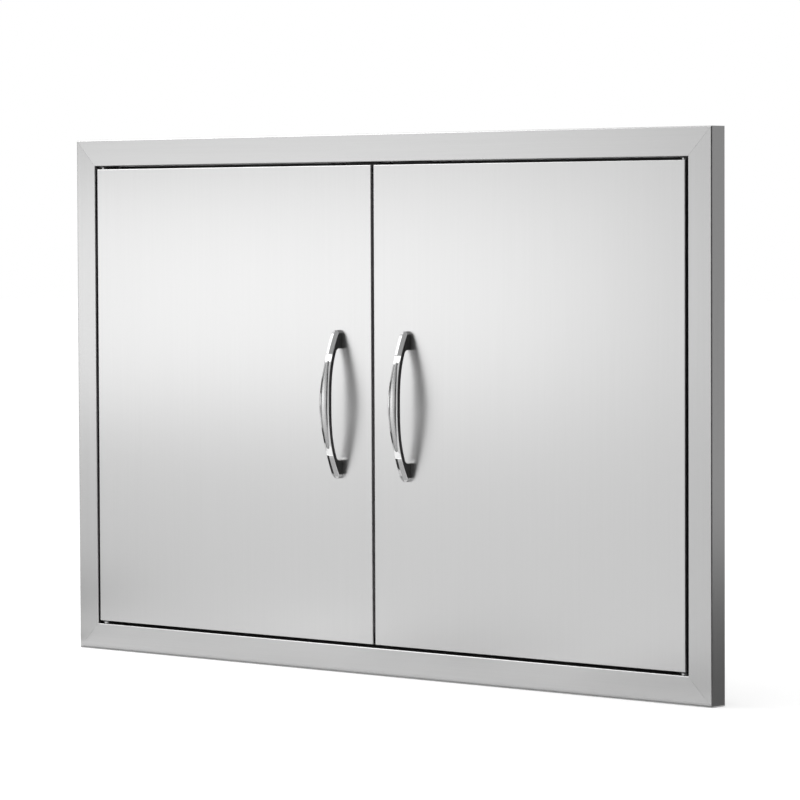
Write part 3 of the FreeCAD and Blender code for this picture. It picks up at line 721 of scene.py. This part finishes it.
class ACCESSDOOR_OT_rivets(bpy.types.Operator):
    """Model the blind rivets round each liner"""
    bl_idname = "access_door.rivets"
    bl_label = "Liner rivets"

    def execute(self, context):
        sizes = settings().door
        material = plain_stainless("Stainless_Fasteners", roughness=0.34)
        head = scaled(RIVET_HEAD, sizes.rivet_head / 2, sizes.rivet_rise)
        for side in SIDES:
            rivet = turned("rivet", scaled(RIVET_TAIL, MM, MM) + head)
            smooth(rivet, degrees=40)
            placed(rivet, turn=(-QUARTER, 0, 0))
            piece = copies(rivet, rivet_places(side), side + "_liner_rivets_headed")
            hand_over(piece, side + "_door", material, "fastener_steel", side + "_liner_rivets")
        return {"FINISHED"}


# Bow handles

# Angles in degrees at which a bow's tip, its root at a foot and a grip's end are drawn
TIP_ANGLES = (12, 24, 36, 48, 58, 67, 75, 82)
ROOT_ANGLES = (15, 30, 45, 60, 75)
GRIP_END_ANGLES = (20, 40, 58, 72, 83)

# Flat length past a neck, the length in which an arm's ridge then rises, and its share left at the tip
NECK_FLAT = 1.5 * MM
RIDGE_RISE = MM
TIP_RIDGE = 0.6

# Distance before a neck where the middle ridge starts to fall, and the length of its fall
MIDDLE_RIDGE_END = 10 * MM
MIDDLE_RIDGE_FALL = 8 * MM

# Share of the back's rounds that is left where a foot stands on the door
FOOT_EDGE = 0.15

GRIP_SIDES = 40


def bow_front(z):
    """Height of a bow's front over the door, at a distance from its middle."""
    sizes = settings().handle
    rise = sizes.height - sizes.foot_tip
    radius = (HANDLE_TIP ** 2 + rise ** 2) / (2 * rise)
    return sizes.height - radius + math.sqrt(radius ** 2 - z ** 2)


def bow_tip_drop(z):
    """Fall of the front's edge where it is rounded over at a tip."""
    radius = settings().handle.front_round
    past = abs(z) - (HANDLE_TIP - radius)
    return radius - math.sqrt(max(radius ** 2 - past ** 2, 0)) if past > 0 else 0


def bow_back(z):
    """Height of a bow's underside over the door: an arc over the fingers, and nothing at the feet."""
    sizes = settings().handle
    heel = HANDLE_TIP - sizes.foot_length
    if abs(z) > heel:
        return 0
    sag = sizes.clearance - bow_front(heel) + sizes.heel_thickness
    radius = (heel ** 2 + sag ** 2) / (2 * sag)
    past = abs(z) - (heel - sizes.foot_root)
    drop = sizes.foot_root - math.sqrt(sizes.foot_root ** 2 - past ** 2) if past > 0 else 0
    return sizes.clearance - radius + math.sqrt(radius ** 2 - z ** 2) - drop


def eased(first, second, share):
    """Value between two others that starts and ends level."""
    return first + (second - first) * (1 - math.cos(math.pi * share)) / 2


def progress(place, start, length):
    """How far a place lies along a length: 0 before it, 1 past it."""
    return min(max((place - start) / length, 0), 1)


def bow_width(z):
    """Width of a bow: full at its middle, drawn in at the necks, round at the tips."""
    sizes = settings().handle
    z = abs(z)
    neck = HANDLE_TIP - sizes.neck_inset
    shoulder = HANDLE_TIP - sizes.foot_width / 2
    if z < neck:
        return eased(sizes.middle_width, sizes.neck_width, z / neck)
    if z < shoulder:
        return eased(sizes.neck_width, sizes.foot_width, (z - neck) / (shoulder - neck))
    return 2 * math.sqrt((sizes.foot_width / 2) ** 2 - (z - shoulder) ** 2)


def bow_ridge(z):
    """Height of the ridge along a bow's front: under the grip and along the arms, with flat necks between."""
    sizes = settings().handle
    z = abs(z)
    neck = HANDLE_TIP - sizes.neck_inset
    shoulder = HANDLE_TIP - sizes.foot_width / 2
    middle_fall = progress(z, neck - MIDDLE_RIDGE_END, MIDDLE_RIDGE_FALL)
    rise = progress(z, neck + NECK_FLAT, RIDGE_RISE)
    tip_fall = progress(z, shoulder, HANDLE_TIP - shoulder)
    under_grip = sizes.middle_ridge * eased(1, 0, middle_fall)
    along_arm = sizes.ridge * eased(0, 1, rise) * eased(1, TIP_RIDGE, tip_fall)
    return under_grip + along_arm


def steps_between(start, end, count):
    """Evenly spaced places after a start, up to an end."""
    return [start + (end - start) * i / count for i in range(1, count + 1)]


def round_places(start, radius, degrees):
    """Places along a quarter round at angles from its start."""
    return [start + radius * math.sin(math.radians(a)) for a in degrees]


def both_ways(stations):
    """The middle, and stations on either side of it."""
    return [0] + stations + [-s for s in stations]


def bow_stations():
    """Distances from a bow's middle at which its section is set, closest where it turns most."""
    sizes = settings().handle
    heel = HANDLE_TIP - sizes.foot_length
    root = heel - sizes.foot_root
    shoulder = HANDLE_TIP - sizes.foot_width / 2
    ridge_start = HANDLE_TIP - sizes.neck_inset + NECK_FLAT
    stations = steps_between(0, root, count=18)
    stations += [ridge_start] + steps_between(ridge_start, ridge_start + RIDGE_RISE, count=3)
    stations += round_places(root, sizes.foot_root, ROOT_ANGLES)
    stations += [heel - TINY, heel + TINY]
    stations += steps_between(heel, shoulder, count=6)
    stations += round_places(shoulder, sizes.foot_width / 2, TIP_ANGLES)
    return sorted(stations)


def on_ring(vert, z):
    """True for a vertex of the ring at a distance from the middle."""
    return abs(vert.co.z - z) < TINY / 4


def shape_rings(stations, section):
    """Scales and moves each ring of the mesh. section(z) gives its two scales and its move along Y."""
    for z in both_ways(stations):
        across, deep, move = section(z)
        pick("VERT", lambda vert: on_ring(vert, z))
        bpy.ops.transform.resize(value=(across, deep, 1), center_override=(0, 0, z))
        bpy.ops.transform.translate(value=(0, move, 0))


def bow(name):
    """Bow of a handle: a bar with rounded edges, drawn out to its feet ring by ring."""
    sizes = settings().handle
    thickness = sizes.height - sizes.clearance
    stations = bow_stations()
    half = sizes.middle_width / 2
    piece = cuboid(name, (-half, -thickness, -stations[-1]), (half, 0, stations[-1]))
    for y, radius in ((-thickness, sizes.front_round), (0, sizes.back_round)):
        pick("EDGE", lambda edge: along(edge, 2) and abs(middle(edge).y - y) < TINY)
        round_edges(radius)
    cut_at([0], 0)
    cut_at(both_ways(stations[:-1]), 2)

    # The front half is held well clear while the back half is set, so that both keep their rounds
    clear = 1
    pick("VERT", lambda vert: vert.co.y < -thickness / 2)
    bpy.ops.transform.translate(value=(0, thickness - clear, 0))
    shape_rings(stations, lambda z: (bow_width(z) / sizes.middle_width, 1, 0))
    for z in both_ways(stations):
        pick("VERT", lambda vert: on_ring(vert, z) and vert.co.y > -clear / 2)
        if bow_back(z) == 0:
            bpy.ops.transform.resize(value=(1, FOOT_EDGE, 1), center_override=(0, 0, z))
        bpy.ops.transform.translate(value=(0, -bow_back(z), 0))
        pick("VERT", lambda vert: on_ring(vert, z) and vert.co.y < -clear / 2)
        bpy.ops.transform.translate(value=(0, clear - bow_front(z) + bow_tip_drop(z), 0))

    # The middle line of the front is raised to a ridge
    for z in both_ways(stations):
        half_way = -(bow_front(z) - bow_tip_drop(z) + bow_back(z)) / 2
        pick("VERT", lambda vert: abs(vert.co.x) < TINY / 4 and on_ring(vert, z) and vert.co.y < half_way)
        bpy.ops.transform.translate(value=(0, -bow_ridge(z), 0))
    smooth(piece, degrees=22)
    return piece


def grip(name):
    """Raised spindle along the front of a bow, crowned and round at its ends."""
    sizes = settings().handle
    half = sizes.grip_length / 2
    end_round = sizes.grip_end / 2
    stations = steps_between(0, half - end_round, count=16)
    stations += round_places(half - end_round, end_round, GRIP_END_ANGLES)
    bpy.ops.mesh.primitive_cylinder_add(vertices=GRIP_SIDES, radius=1, depth=2 * stations[-1])
    piece = opened(name)
    cut_at(both_ways(stations[:-1]), 2)

    def section(z):
        share = (z / half) ** 2
        width = sizes.grip_middle + (sizes.grip_end - sizes.grip_middle) * share
        rise = sizes.grip_rise + (sizes.grip_end_rise - sizes.grip_rise) * share
        past = max(abs(z) - (half - end_round), 0) / end_round
        fade = math.sqrt(1 - past ** 2)
        return width / 2 * fade, (rise + sizes.grip_sink) * fade, -bow_front(z) + sizes.grip_sink

    shape_rings(stations, section)
    smooth(piece)
    return piece


class ACCESSDOOR_OT_handles(bpy.types.Operator):
    """Model the bow of each handle and its raised grip"""
    bl_idname = "access_door.handles"
    bl_label = "Bow handles"

    def execute(self, context):
        chrome, satin = polished_chrome(), satin_chrome()
        for side in SIDES:
            low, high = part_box(side + "_handle")
            place = ((low.x + high.x) / 2, FRONT_Y, 0)
            bar = placed(bow(side + "_handle_bow"), place)
            pad = placed(grip(side + "_handle_grip"), place)
            hand_over(bar, side + "_door", chrome, "handle_chrome", side + "_handle")
            hand_over(pad, side + "_door", satin, "handle_chrome")
        return {"FINISHED"}


# Catches, strike plates and plugs

# Outlines in shares: a pan head, the skirt of a plug in its hole and the plug's dished cap
PAN_HEAD = ((1, 0), (1, 0.25), (0.94, 0.55), (0.78, 0.82), (0.5, 1))
PLUG_SKIRT = ((0.8, -1), (0.94, -1), (1, -0.7), (1, 0))
PLUG_CAP = ((1, 0), (1, 0.2), (0.96, 0.55), (0.86, 0.86), (0.72, 1), (0.5, 0.94), (0.2, 0.86))

# Share of a screw's radius at its point, and of its head's rise under the recess
SCREW_POINT = 0.6
RECESS_FLOOR = 0.45


def catch_housing(side):
    """Moulded catch body with two ears and a pocket for its magnet."""
    sizes = settings().catch
    low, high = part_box(side + "_catch_housing")
    magnet_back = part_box(side + "_catch_magnet")[1].y
    pole_low, pole_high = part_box(side + "_catch_poles")
    centre = (low.x + high.x) / 2
    ear_z = high.z - sizes.ear
    piece = cuboid(
        side + "_catch_housing_moulded",
        (centre - sizes.body / 2, low.y, low.z), (centre + sizes.body / 2, high.y, high.z))
    cut_at([ear_z], 2)
    for end in (-1, 1):
        pick("FACE", lambda face: face.normal.x * end > ALIGNED and middle(face).z > ear_z)
        extrude((end * (high.x - low.x - sizes.body) / 2, 0, 0))
    activate(piece)
    pocket = cuboid(
        "pocket", (pole_low.x, low.y - sizes.ear, pole_low.z), (pole_high.x, magnet_back, pole_high.z))
    cut_away(piece, pocket)
    apply_modifier(piece, "BEVEL", width=sizes.edge, segments=3, limit_method="ANGLE")
    smooth(piece)
    return piece


def catch_screws(side):
    """Pan-head screws with a cross recess, driven up through a catch's ears."""
    sizes = settings().catch
    rise = sizes.screw_rise
    shank = sizes.screw / 2
    low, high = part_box(side + "_catch_screws")
    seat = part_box(side + "_catch_housing")[1].z - sizes.ear
    point = seat - high.z
    outline = [(SCREW_POINT * shank, point), (shank, point + sizes.screw_point), (shank, 0)]
    screw = turned("screw", outline + scaled(PAN_HEAD, sizes.screw_head / 2, rise))
    for turn in (0, QUARTER):
        slot = cuboid(
            "slot", (-sizes.recess / 2, -sizes.recess_width / 2, RECESS_FLOOR * rise),
            (sizes.recess / 2, sizes.recess_width / 2, 2 * rise))
        cut_away(screw, placed(slot, turn=(0, 0, turn)))
    smooth(screw, degrees=30)
    placed(screw, turn=(2 * QUARTER, 0, 0))
    y = (low.y + high.y) / 2
    places = [(low.x + sizes.screw_head / 2, y, seat), (high.x - sizes.screw_head / 2, y, seat)]
    return copies(screw, places, side + "_catch_screws_cross")


def strike_plate(side):
    """Steel plate with rounded corners and broken edges."""
    sizes = settings().catch
    low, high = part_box(side + "_strike_plate")
    piece = cuboid(side + "_strike_plate_pressed", low, high)
    pick("EDGE", lambda edge: along(edge, 1))
    round_edges(sizes.strike_corner)
    apply_modifier(piece, "BEVEL", width=sizes.strike_edge, segments=2, limit_method="ANGLE")
    smooth(piece)
    return piece


def access_plugs(side):
    """Push-in plugs with a low dished cap, over the holes behind the handle screws."""
    sizes = settings().catch
    low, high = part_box(side + "_access_plugs")
    skirt = scaled(PLUG_SKIRT, sizes.plug_hole / 2, LINER_BACK_Y - low.y)
    cap = scaled(PLUG_CAP, sizes.plug / 2, sizes.plug_rise)
    plug = turned("plug", skirt + cap, WIDE_SIDES)
    smooth(plug, degrees=40)
    placed(plug, turn=(-QUARTER, 0, 0))
    x = (low.x + high.x) / 2
    places = [(x, LINER_BACK_Y, low.z + sizes.plug / 2), (x, LINER_BACK_Y, high.z - sizes.plug / 2)]
    return copies(plug, places, side + "_access_plugs_dished")


class ACCESSDOOR_OT_catches(bpy.types.Operator):
    """Model the magnetic catches, their screws, their strike plates and the plugs"""
    bl_idname = "access_door.catches"
    bl_label = "Catches"

    def execute(self, context):
        plastic = moulded_plastic()
        zinc = zinc_plated_steel()
        for side in SIDES:
            hand_over(catch_housing(side), "frame", plastic, "black_plastic", side + "_catch_housing")
            hand_over(catch_screws(side), "frame", zinc, "fastener_steel", side + "_catch_screws")
            hand_over(strike_plate(side), side + "_door", zinc, "pole_steel", side + "_strike_plate")
            hand_over(access_plugs(side), side + "_door", plastic, "black_plastic", side + "_access_plugs")
        return {"FINISHED"}


# Pivots

# Share of a washer's radius inside its broken edges, and sides of a spring's wire
WASHER_FLAT = 0.97
WIRE_SIDES = 12


def thrust_washer(side):
    """Flat washer with broken edges, round the stud under a door."""
    sizes = settings().pivot
    low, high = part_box(side + "_thrust_washer")
    radius = (high.x - low.x) / 2
    thickness = high.z - low.z - sizes.play
    piece = turned(side + "_thrust_washer_turned", [
        (WASHER_FLAT * radius, 0), (radius, sizes.edge),
        (radius, thickness - sizes.edge), (WASHER_FLAT * radius, thickness)], WIDE_SIDES)
    drill(piece, (0, 0, 0), sizes.bore, thickness)
    smooth(piece, degrees=30)
    return placed(piece, ((low.x + high.x) / 2, (low.y + high.y) / 2, low.z))


def pin_spring(side):
    """Compression spring of round wire, which stands on its bracket under the pull tab."""
    sizes = settings().pivot
    low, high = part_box(side + "_pin_spring")
    radius = (high.x - low.x - sizes.wire) / 2
    bpy.ops.mesh.primitive_circle_add(
        vertices=WIRE_SIDES, radius=sizes.wire / 2, location=(radius, 0, 0), rotation=(QUARTER, 0, 0))
    piece = opened(side + "_pin_spring_wound")
    apply_modifier(
        piece, "SCREW", axis="Z", angle=2 * math.pi, steps=SMALL_SIDES, render_steps=SMALL_SIDES,
        iterations=sizes.turns, screw_offset=(high.z - low.z - sizes.wire) / sizes.turns)
    bpy.ops.object.mode_set(mode="EDIT")
    bpy.ops.mesh.select_all(action="SELECT")
    bpy.ops.mesh.fill_holes(sides=0)
    outward(piece)
    placed(piece, ((low.x + high.x) / 2, (low.y + high.y) / 2, low.z + sizes.wire / 2))
    smooth(piece, degrees=50)
    return piece


class ACCESSDOOR_OT_pivots(bpy.types.Operator):
    """Model the thrust washers, and the springs that push the upper pins up"""
    bl_idname = "access_door.pivots"
    bl_label = "Pivots"

    def execute(self, context):
        wire = plain_stainless("Drawn_Spring_Wire", roughness=0.24)
        washer_steel = plain_stainless("Turned_Washer_Steel", roughness=0.3)
        for side in SIDES:
            hand_over(thrust_washer(side), "frame", washer_steel, "hinge_steel", side + "_thrust_washer")
            spring = pin_spring(side)
            hand_over(spring, side + "_door", wire, "spring_steel", side + "_pin_spring")
            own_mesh(spring)
        return {"FINISHED"}


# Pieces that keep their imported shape

class ACCESSDOOR_OT_finishes(bpy.types.Operator):
    """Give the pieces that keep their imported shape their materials"""
    bl_idname = "access_door.finishes"
    bl_label = "Finishes"

    def execute(self, context):
        hinge_steel = plain_stainless("Turned_Hinge_Steel", roughness=0.3)
        clip_steel = plain_stainless("Pressed_Clip_Steel", roughness=0.24)
        screw_steel = plain_stainless("Stainless_Handle_Screws", roughness=0.34)
        nylon = black_nylon()
        coat = shade_black_powder_coat()
        finishes = {
            "door_liner": mill_stainless(),
            "handle_screws": screw_steel,
            "handle_washers": screw_steel,
            "strike_rivet": screw_steel,
            "top_bushing": nylon,
            "bottom_bushing": nylon,
            "bottom_stud": hinge_steel,
            "hinge_pin": hinge_steel,
            "pin_clip": clip_steel,
            "pin_tab": hinge_steel,
            "pin_bracket": hinge_steel,
            "catch_magnet": sintered_ferrite(),
            "catch_poles": zinc_plated_steel(),
        }
        dressed = {side + "_" + name: finishes[name] for side in SIDES for name in finishes}
        # The stop angles get a black coat as painted shade in the gaps round the doors
        for place in ("top", "bottom", "left", "right"):
            dressed["frame_" + place + "_stop"] = coat
        for name, material in dressed.items():
            node = frame["nodes"][name]
            node.data.materials.clear()
            node.data.materials.append(material)
        return {"FINISHED"}


# Stage

# Cards that stand round the stage and face its middle: name, place, width, height and brightness
STANDING_CARDS = (
    ("grey_card_behind", (1.2, 2.2, 0.9), 6.0, 2.6, 0.5),
    ("dark_card_at_right", (3.0, 0, 0.9), 3.4, 2.6, 0.1),
    ("black_card_in_front", (2.64, -2.3, 1.25), 6.1, 3.6, 0.03),
    ("grey_card_in_front", (-0.37, -3.48, 0.9), 2.46, 2.9, 0.9),
    ("dark_card_at_left", (-1.88, 0.26, 0.05), 2.6, 0.6, 0.15),
)

# Cards that lie on the floor, some over others: name, place, layer, width, depth and brightness
FLOOR_CARDS = (
    ("black_card_on_floor", (1.72, -1.66), 1, 2.56, 3.2, 0.03),
    ("black_card_at_middle", (0.27, -1.93), 1, 0.34, 2.56, 0.03),
    ("black_card_at_front", (-0.13, -2.36), 1, 0.46, 1.8, 0.03),
    ("grey_card_under_arm", (-0.088, -0.225), 2, 0.06, 0.21, 0.7),
    ("grey_card_under_arm", (0.003, -0.225), 2, 0.06, 0.21, 0.7),
    ("white_card_under_necks", (-0.305, -0.28), 2, 0.17, 0.1, 1.6),
    ("dark_card_on_floor", (-1.05, -0.11), 2, 0.7, 0.62, 0.05),
    ("dark_card_beside_arms", (-0.58, 0.06), 2, 0.24, 0.28, 0.05),
    ("grey_card_at_corner", (0.32, -0.215), 1, 0.24, 0.27, 0.8),
    ("grey_card_on_floor", (1.12, 0.6), 1, 1.4, 1.3, 0.16),
    # Painted shadow: a thin dark strip along the frame's front foot, which the bottom folds reflect as a
    # contact shadow
    ("dark_strip_on_floor", (0, FRONT_Y - 0.003), 1, 0.84, 0.006, 0.08),
    ("pale_card_on_floor", (-0.75, -0.75), 1, 1.4, 1.36, 1.1),
)

# Lamps: name, place, height on the doors that they point at, width and height
LAMPS = (
    ("key", (-1.0, -1.0, 0.09), 0.09, 0.9, 0.32),
    ("arm", (-1.75, 0.0, 0.6), 0.06, 0.6, 0.4),
    ("neck", (-1.2, -1.083, 0.789), 0.1, 0.5, 0.35),
    ("top", (-1.22, -0.493, 1.228), 0.1, 1.15, 1.0),
)


def seen(tree):
    """1 for rays that show what they meet: from the camera, or reflected or let through."""
    path = add_node(tree, "ShaderNodeLightPath")
    rays = path.outputs["Is Camera Ray"]
    for other in ("Is Glossy Ray", "Is Transmission Ray"):
        rays = add_node(
            tree, "ShaderNodeMath", {0: rays, 1: path.outputs[other]}, operation="MAXIMUM").outputs[0]
    return rays


def white_paper():
    """White paper: even and matt, and lit up to white where no shadow falls on it."""
    material = new_material("White_Paper")
    tree = material.node_tree
    paper = add_node(tree, "ShaderNodeBsdfDiffuse", {"Color": (*settings().finish.paper, 1)})
    glow = add_node(tree, "ShaderNodeEmission", {"Strength": settings().studio.floor_glow})
    lit = add_node(tree, "ShaderNodeAddShader", {0: paper.outputs[0], 1: glow.outputs[0]})
    mixed = add_node(tree, "ShaderNodeMixShader", {0: seen(tree), 1: paper.outputs[0], 2: lit.outputs[0]})
    add_node(tree, "ShaderNodeOutputMaterial", {"Surface": mixed.outputs[0]})
    return material


def studio_floor():
    """Square of paper that the frame stands on."""
    bpy.ops.mesh.primitive_plane_add(size=settings().studio.floor, location=(0, 0, FLOOR_Z))
    floor = bpy.context.object
    floor.name = "studio_floor"
    floor.data.materials.append(white_paper())


def white_world():
    """World that is white where it is seen, and dimmer where it lights the stage."""
    world = bpy.data.worlds.new("White_Studio")
    world.use_nodes = True
    tree = world.node_tree
    tree.nodes.clear()
    strength = add_node(tree, "ShaderNodeMapRange", {
        "Value": seen(tree), "To Min": settings().studio.ambient, "To Max": 1.0})
    ground = add_node(tree, "ShaderNodeBackground", {
        "Color": (1, 1, 1, 1), "Strength": strength.outputs["Result"]})
    add_node(tree, "ShaderNodeOutputWorld", {"Surface": ground.outputs[0]})
    return world


def card(name, place, aim, width, height, strength):
    """Studio card that only reflections show, turned towards a place."""
    turn = (Vector(aim) - Vector(place)).to_track_quat("Z", "Y").to_euler()
    bpy.ops.mesh.primitive_plane_add(size=1, location=place, rotation=turn)
    piece = bpy.context.object
    piece.name = name
    piece.scale = (width, height, 1)
    bpy.ops.object.transform_apply(location=True, rotation=True, scale=True)
    piece.visible_camera = False
    piece.visible_diffuse = False
    piece.visible_shadow = False
    material = new_material(name)
    glow = add_node(material.node_tree, "ShaderNodeEmission", {"Strength": strength})
    add_node(material.node_tree, "ShaderNodeOutputMaterial", {"Surface": glow.outputs[0]})
    piece.data.materials.append(material)


def studio_cards():
    """Cards round, over and under the part."""
    for name, place, width, height, strength in STANDING_CARDS:
        card(name, place, (0, 0, place[2]), width, height, strength)
    card("grey_card_above", (0.5, -1.65, 1.6), (0.5, -1.65, 0), 2.4, 2.7, 0.55)
    for name, (x, y), layer, width, depth, strength in FLOOR_CARDS:
        card(name, (x, y, FLOOR_Z + layer * MM), (x, y, 1), width, depth, strength)


def lamp(name, place, aim_height, width, height, watts):
    """Soft rectangular lamp that points at a height on the middle of the doors."""
    bpy.ops.object.light_add(type="AREA", location=place)
    made = bpy.context.object
    made.name = name
    aim = Vector((0, FRONT_Y, aim_height))
    made.rotation_euler = (aim - Vector(place)).to_track_quat("-Z", "Y").to_euler()
    made.data.shape = "RECTANGLE"
    made.data.size = width
    made.data.size_y = height
    made.data.energy = watts


def studio_camera():
    """Camera before the part, to the right of it and a little above."""
    studio = settings().studio
    bpy.ops.object.camera_add()
    camera = bpy.context.object
    camera.location = Vector(studio.place) + Vector((0, FRONT_Y, 0))
    turn = Euler((QUARTER - studio.pitch, 0, studio.yaw)).to_matrix()
    camera.rotation_euler = (turn @ Matrix.Rotation(studio.roll, 3, "Z")).to_euler()
    camera.data.lens = studio.lens
    camera.data.sensor_width = studio.sensor
    return camera


class ACCESSDOOR_OT_studio(bpy.types.Operator):
    """Set up the white ground, the cards, the lamps and the camera"""
    bl_idname = "access_door.studio"
    bl_label = "Studio"

    def execute(self, context):
        studio = settings().studio
        scene = context.scene
        scene.view_settings.view_transform = "Standard"
        studio_floor()
        scene.world = white_world()
        studio_cards()
        for name, place, aim_height, width, height in LAMPS:
            lamp(name + "_lamp", place, aim_height, width, height, getattr(studio, name + "_power"))
        scene.camera = studio_camera()
        return {"FINISHED"}


# Panel and registration

OPERATORS = (
    ACCESSDOOR_OT_frame,
    ACCESSDOOR_OT_door_skins,
    ACCESSDOOR_OT_rivets,
    ACCESSDOOR_OT_handles,
    ACCESSDOOR_OT_catches,
    ACCESSDOOR_OT_pivots,
    ACCESSDOOR_OT_finishes,
    ACCESSDOOR_OT_studio,
)


class ACCESSDOOR_PT_panel(bpy.types.Panel):
    """Steps that model and dress the access door"""
    bl_label = "Access Door"
    bl_idname = "ACCESSDOOR_PT_panel"
    bl_space_type = "VIEW_3D"
    bl_region_type = "UI"
    bl_category = "Access Door"

    def draw(self, context):
        for operator in OPERATORS:
            self.layout.operator(operator.bl_idname)


GROUPS = (FrameSizes, DoorSizes, HandleSizes, CatchSizes, PivotSizes, Finishes, Studio, DoorSetSettings)
CLASSES = (*GROUPS, *OPERATORS, ACCESSDOOR_PT_panel)


def register():
    for made in CLASSES:
        bpy.utils.register_class(made)
    bpy.types.Scene.access_door = PointerProperty(type=DoorSetSettings)


def unregister():
    del bpy.types.Scene.access_door
    for made in reversed(CLASSES):
        bpy.utils.unregister_class(made)


def main():
    register()
    bpy.ops.access_door.frame()
    bpy.ops.access_door.door_skins()
    bpy.ops.access_door.rivets()
    bpy.ops.access_door.handles()
    bpy.ops.access_door.catches()
    bpy.ops.access_door.pivots()
    bpy.ops.access_door.finishes()
    bpy.ops.access_door.studio()


if __name__ == "__main__":
    main()
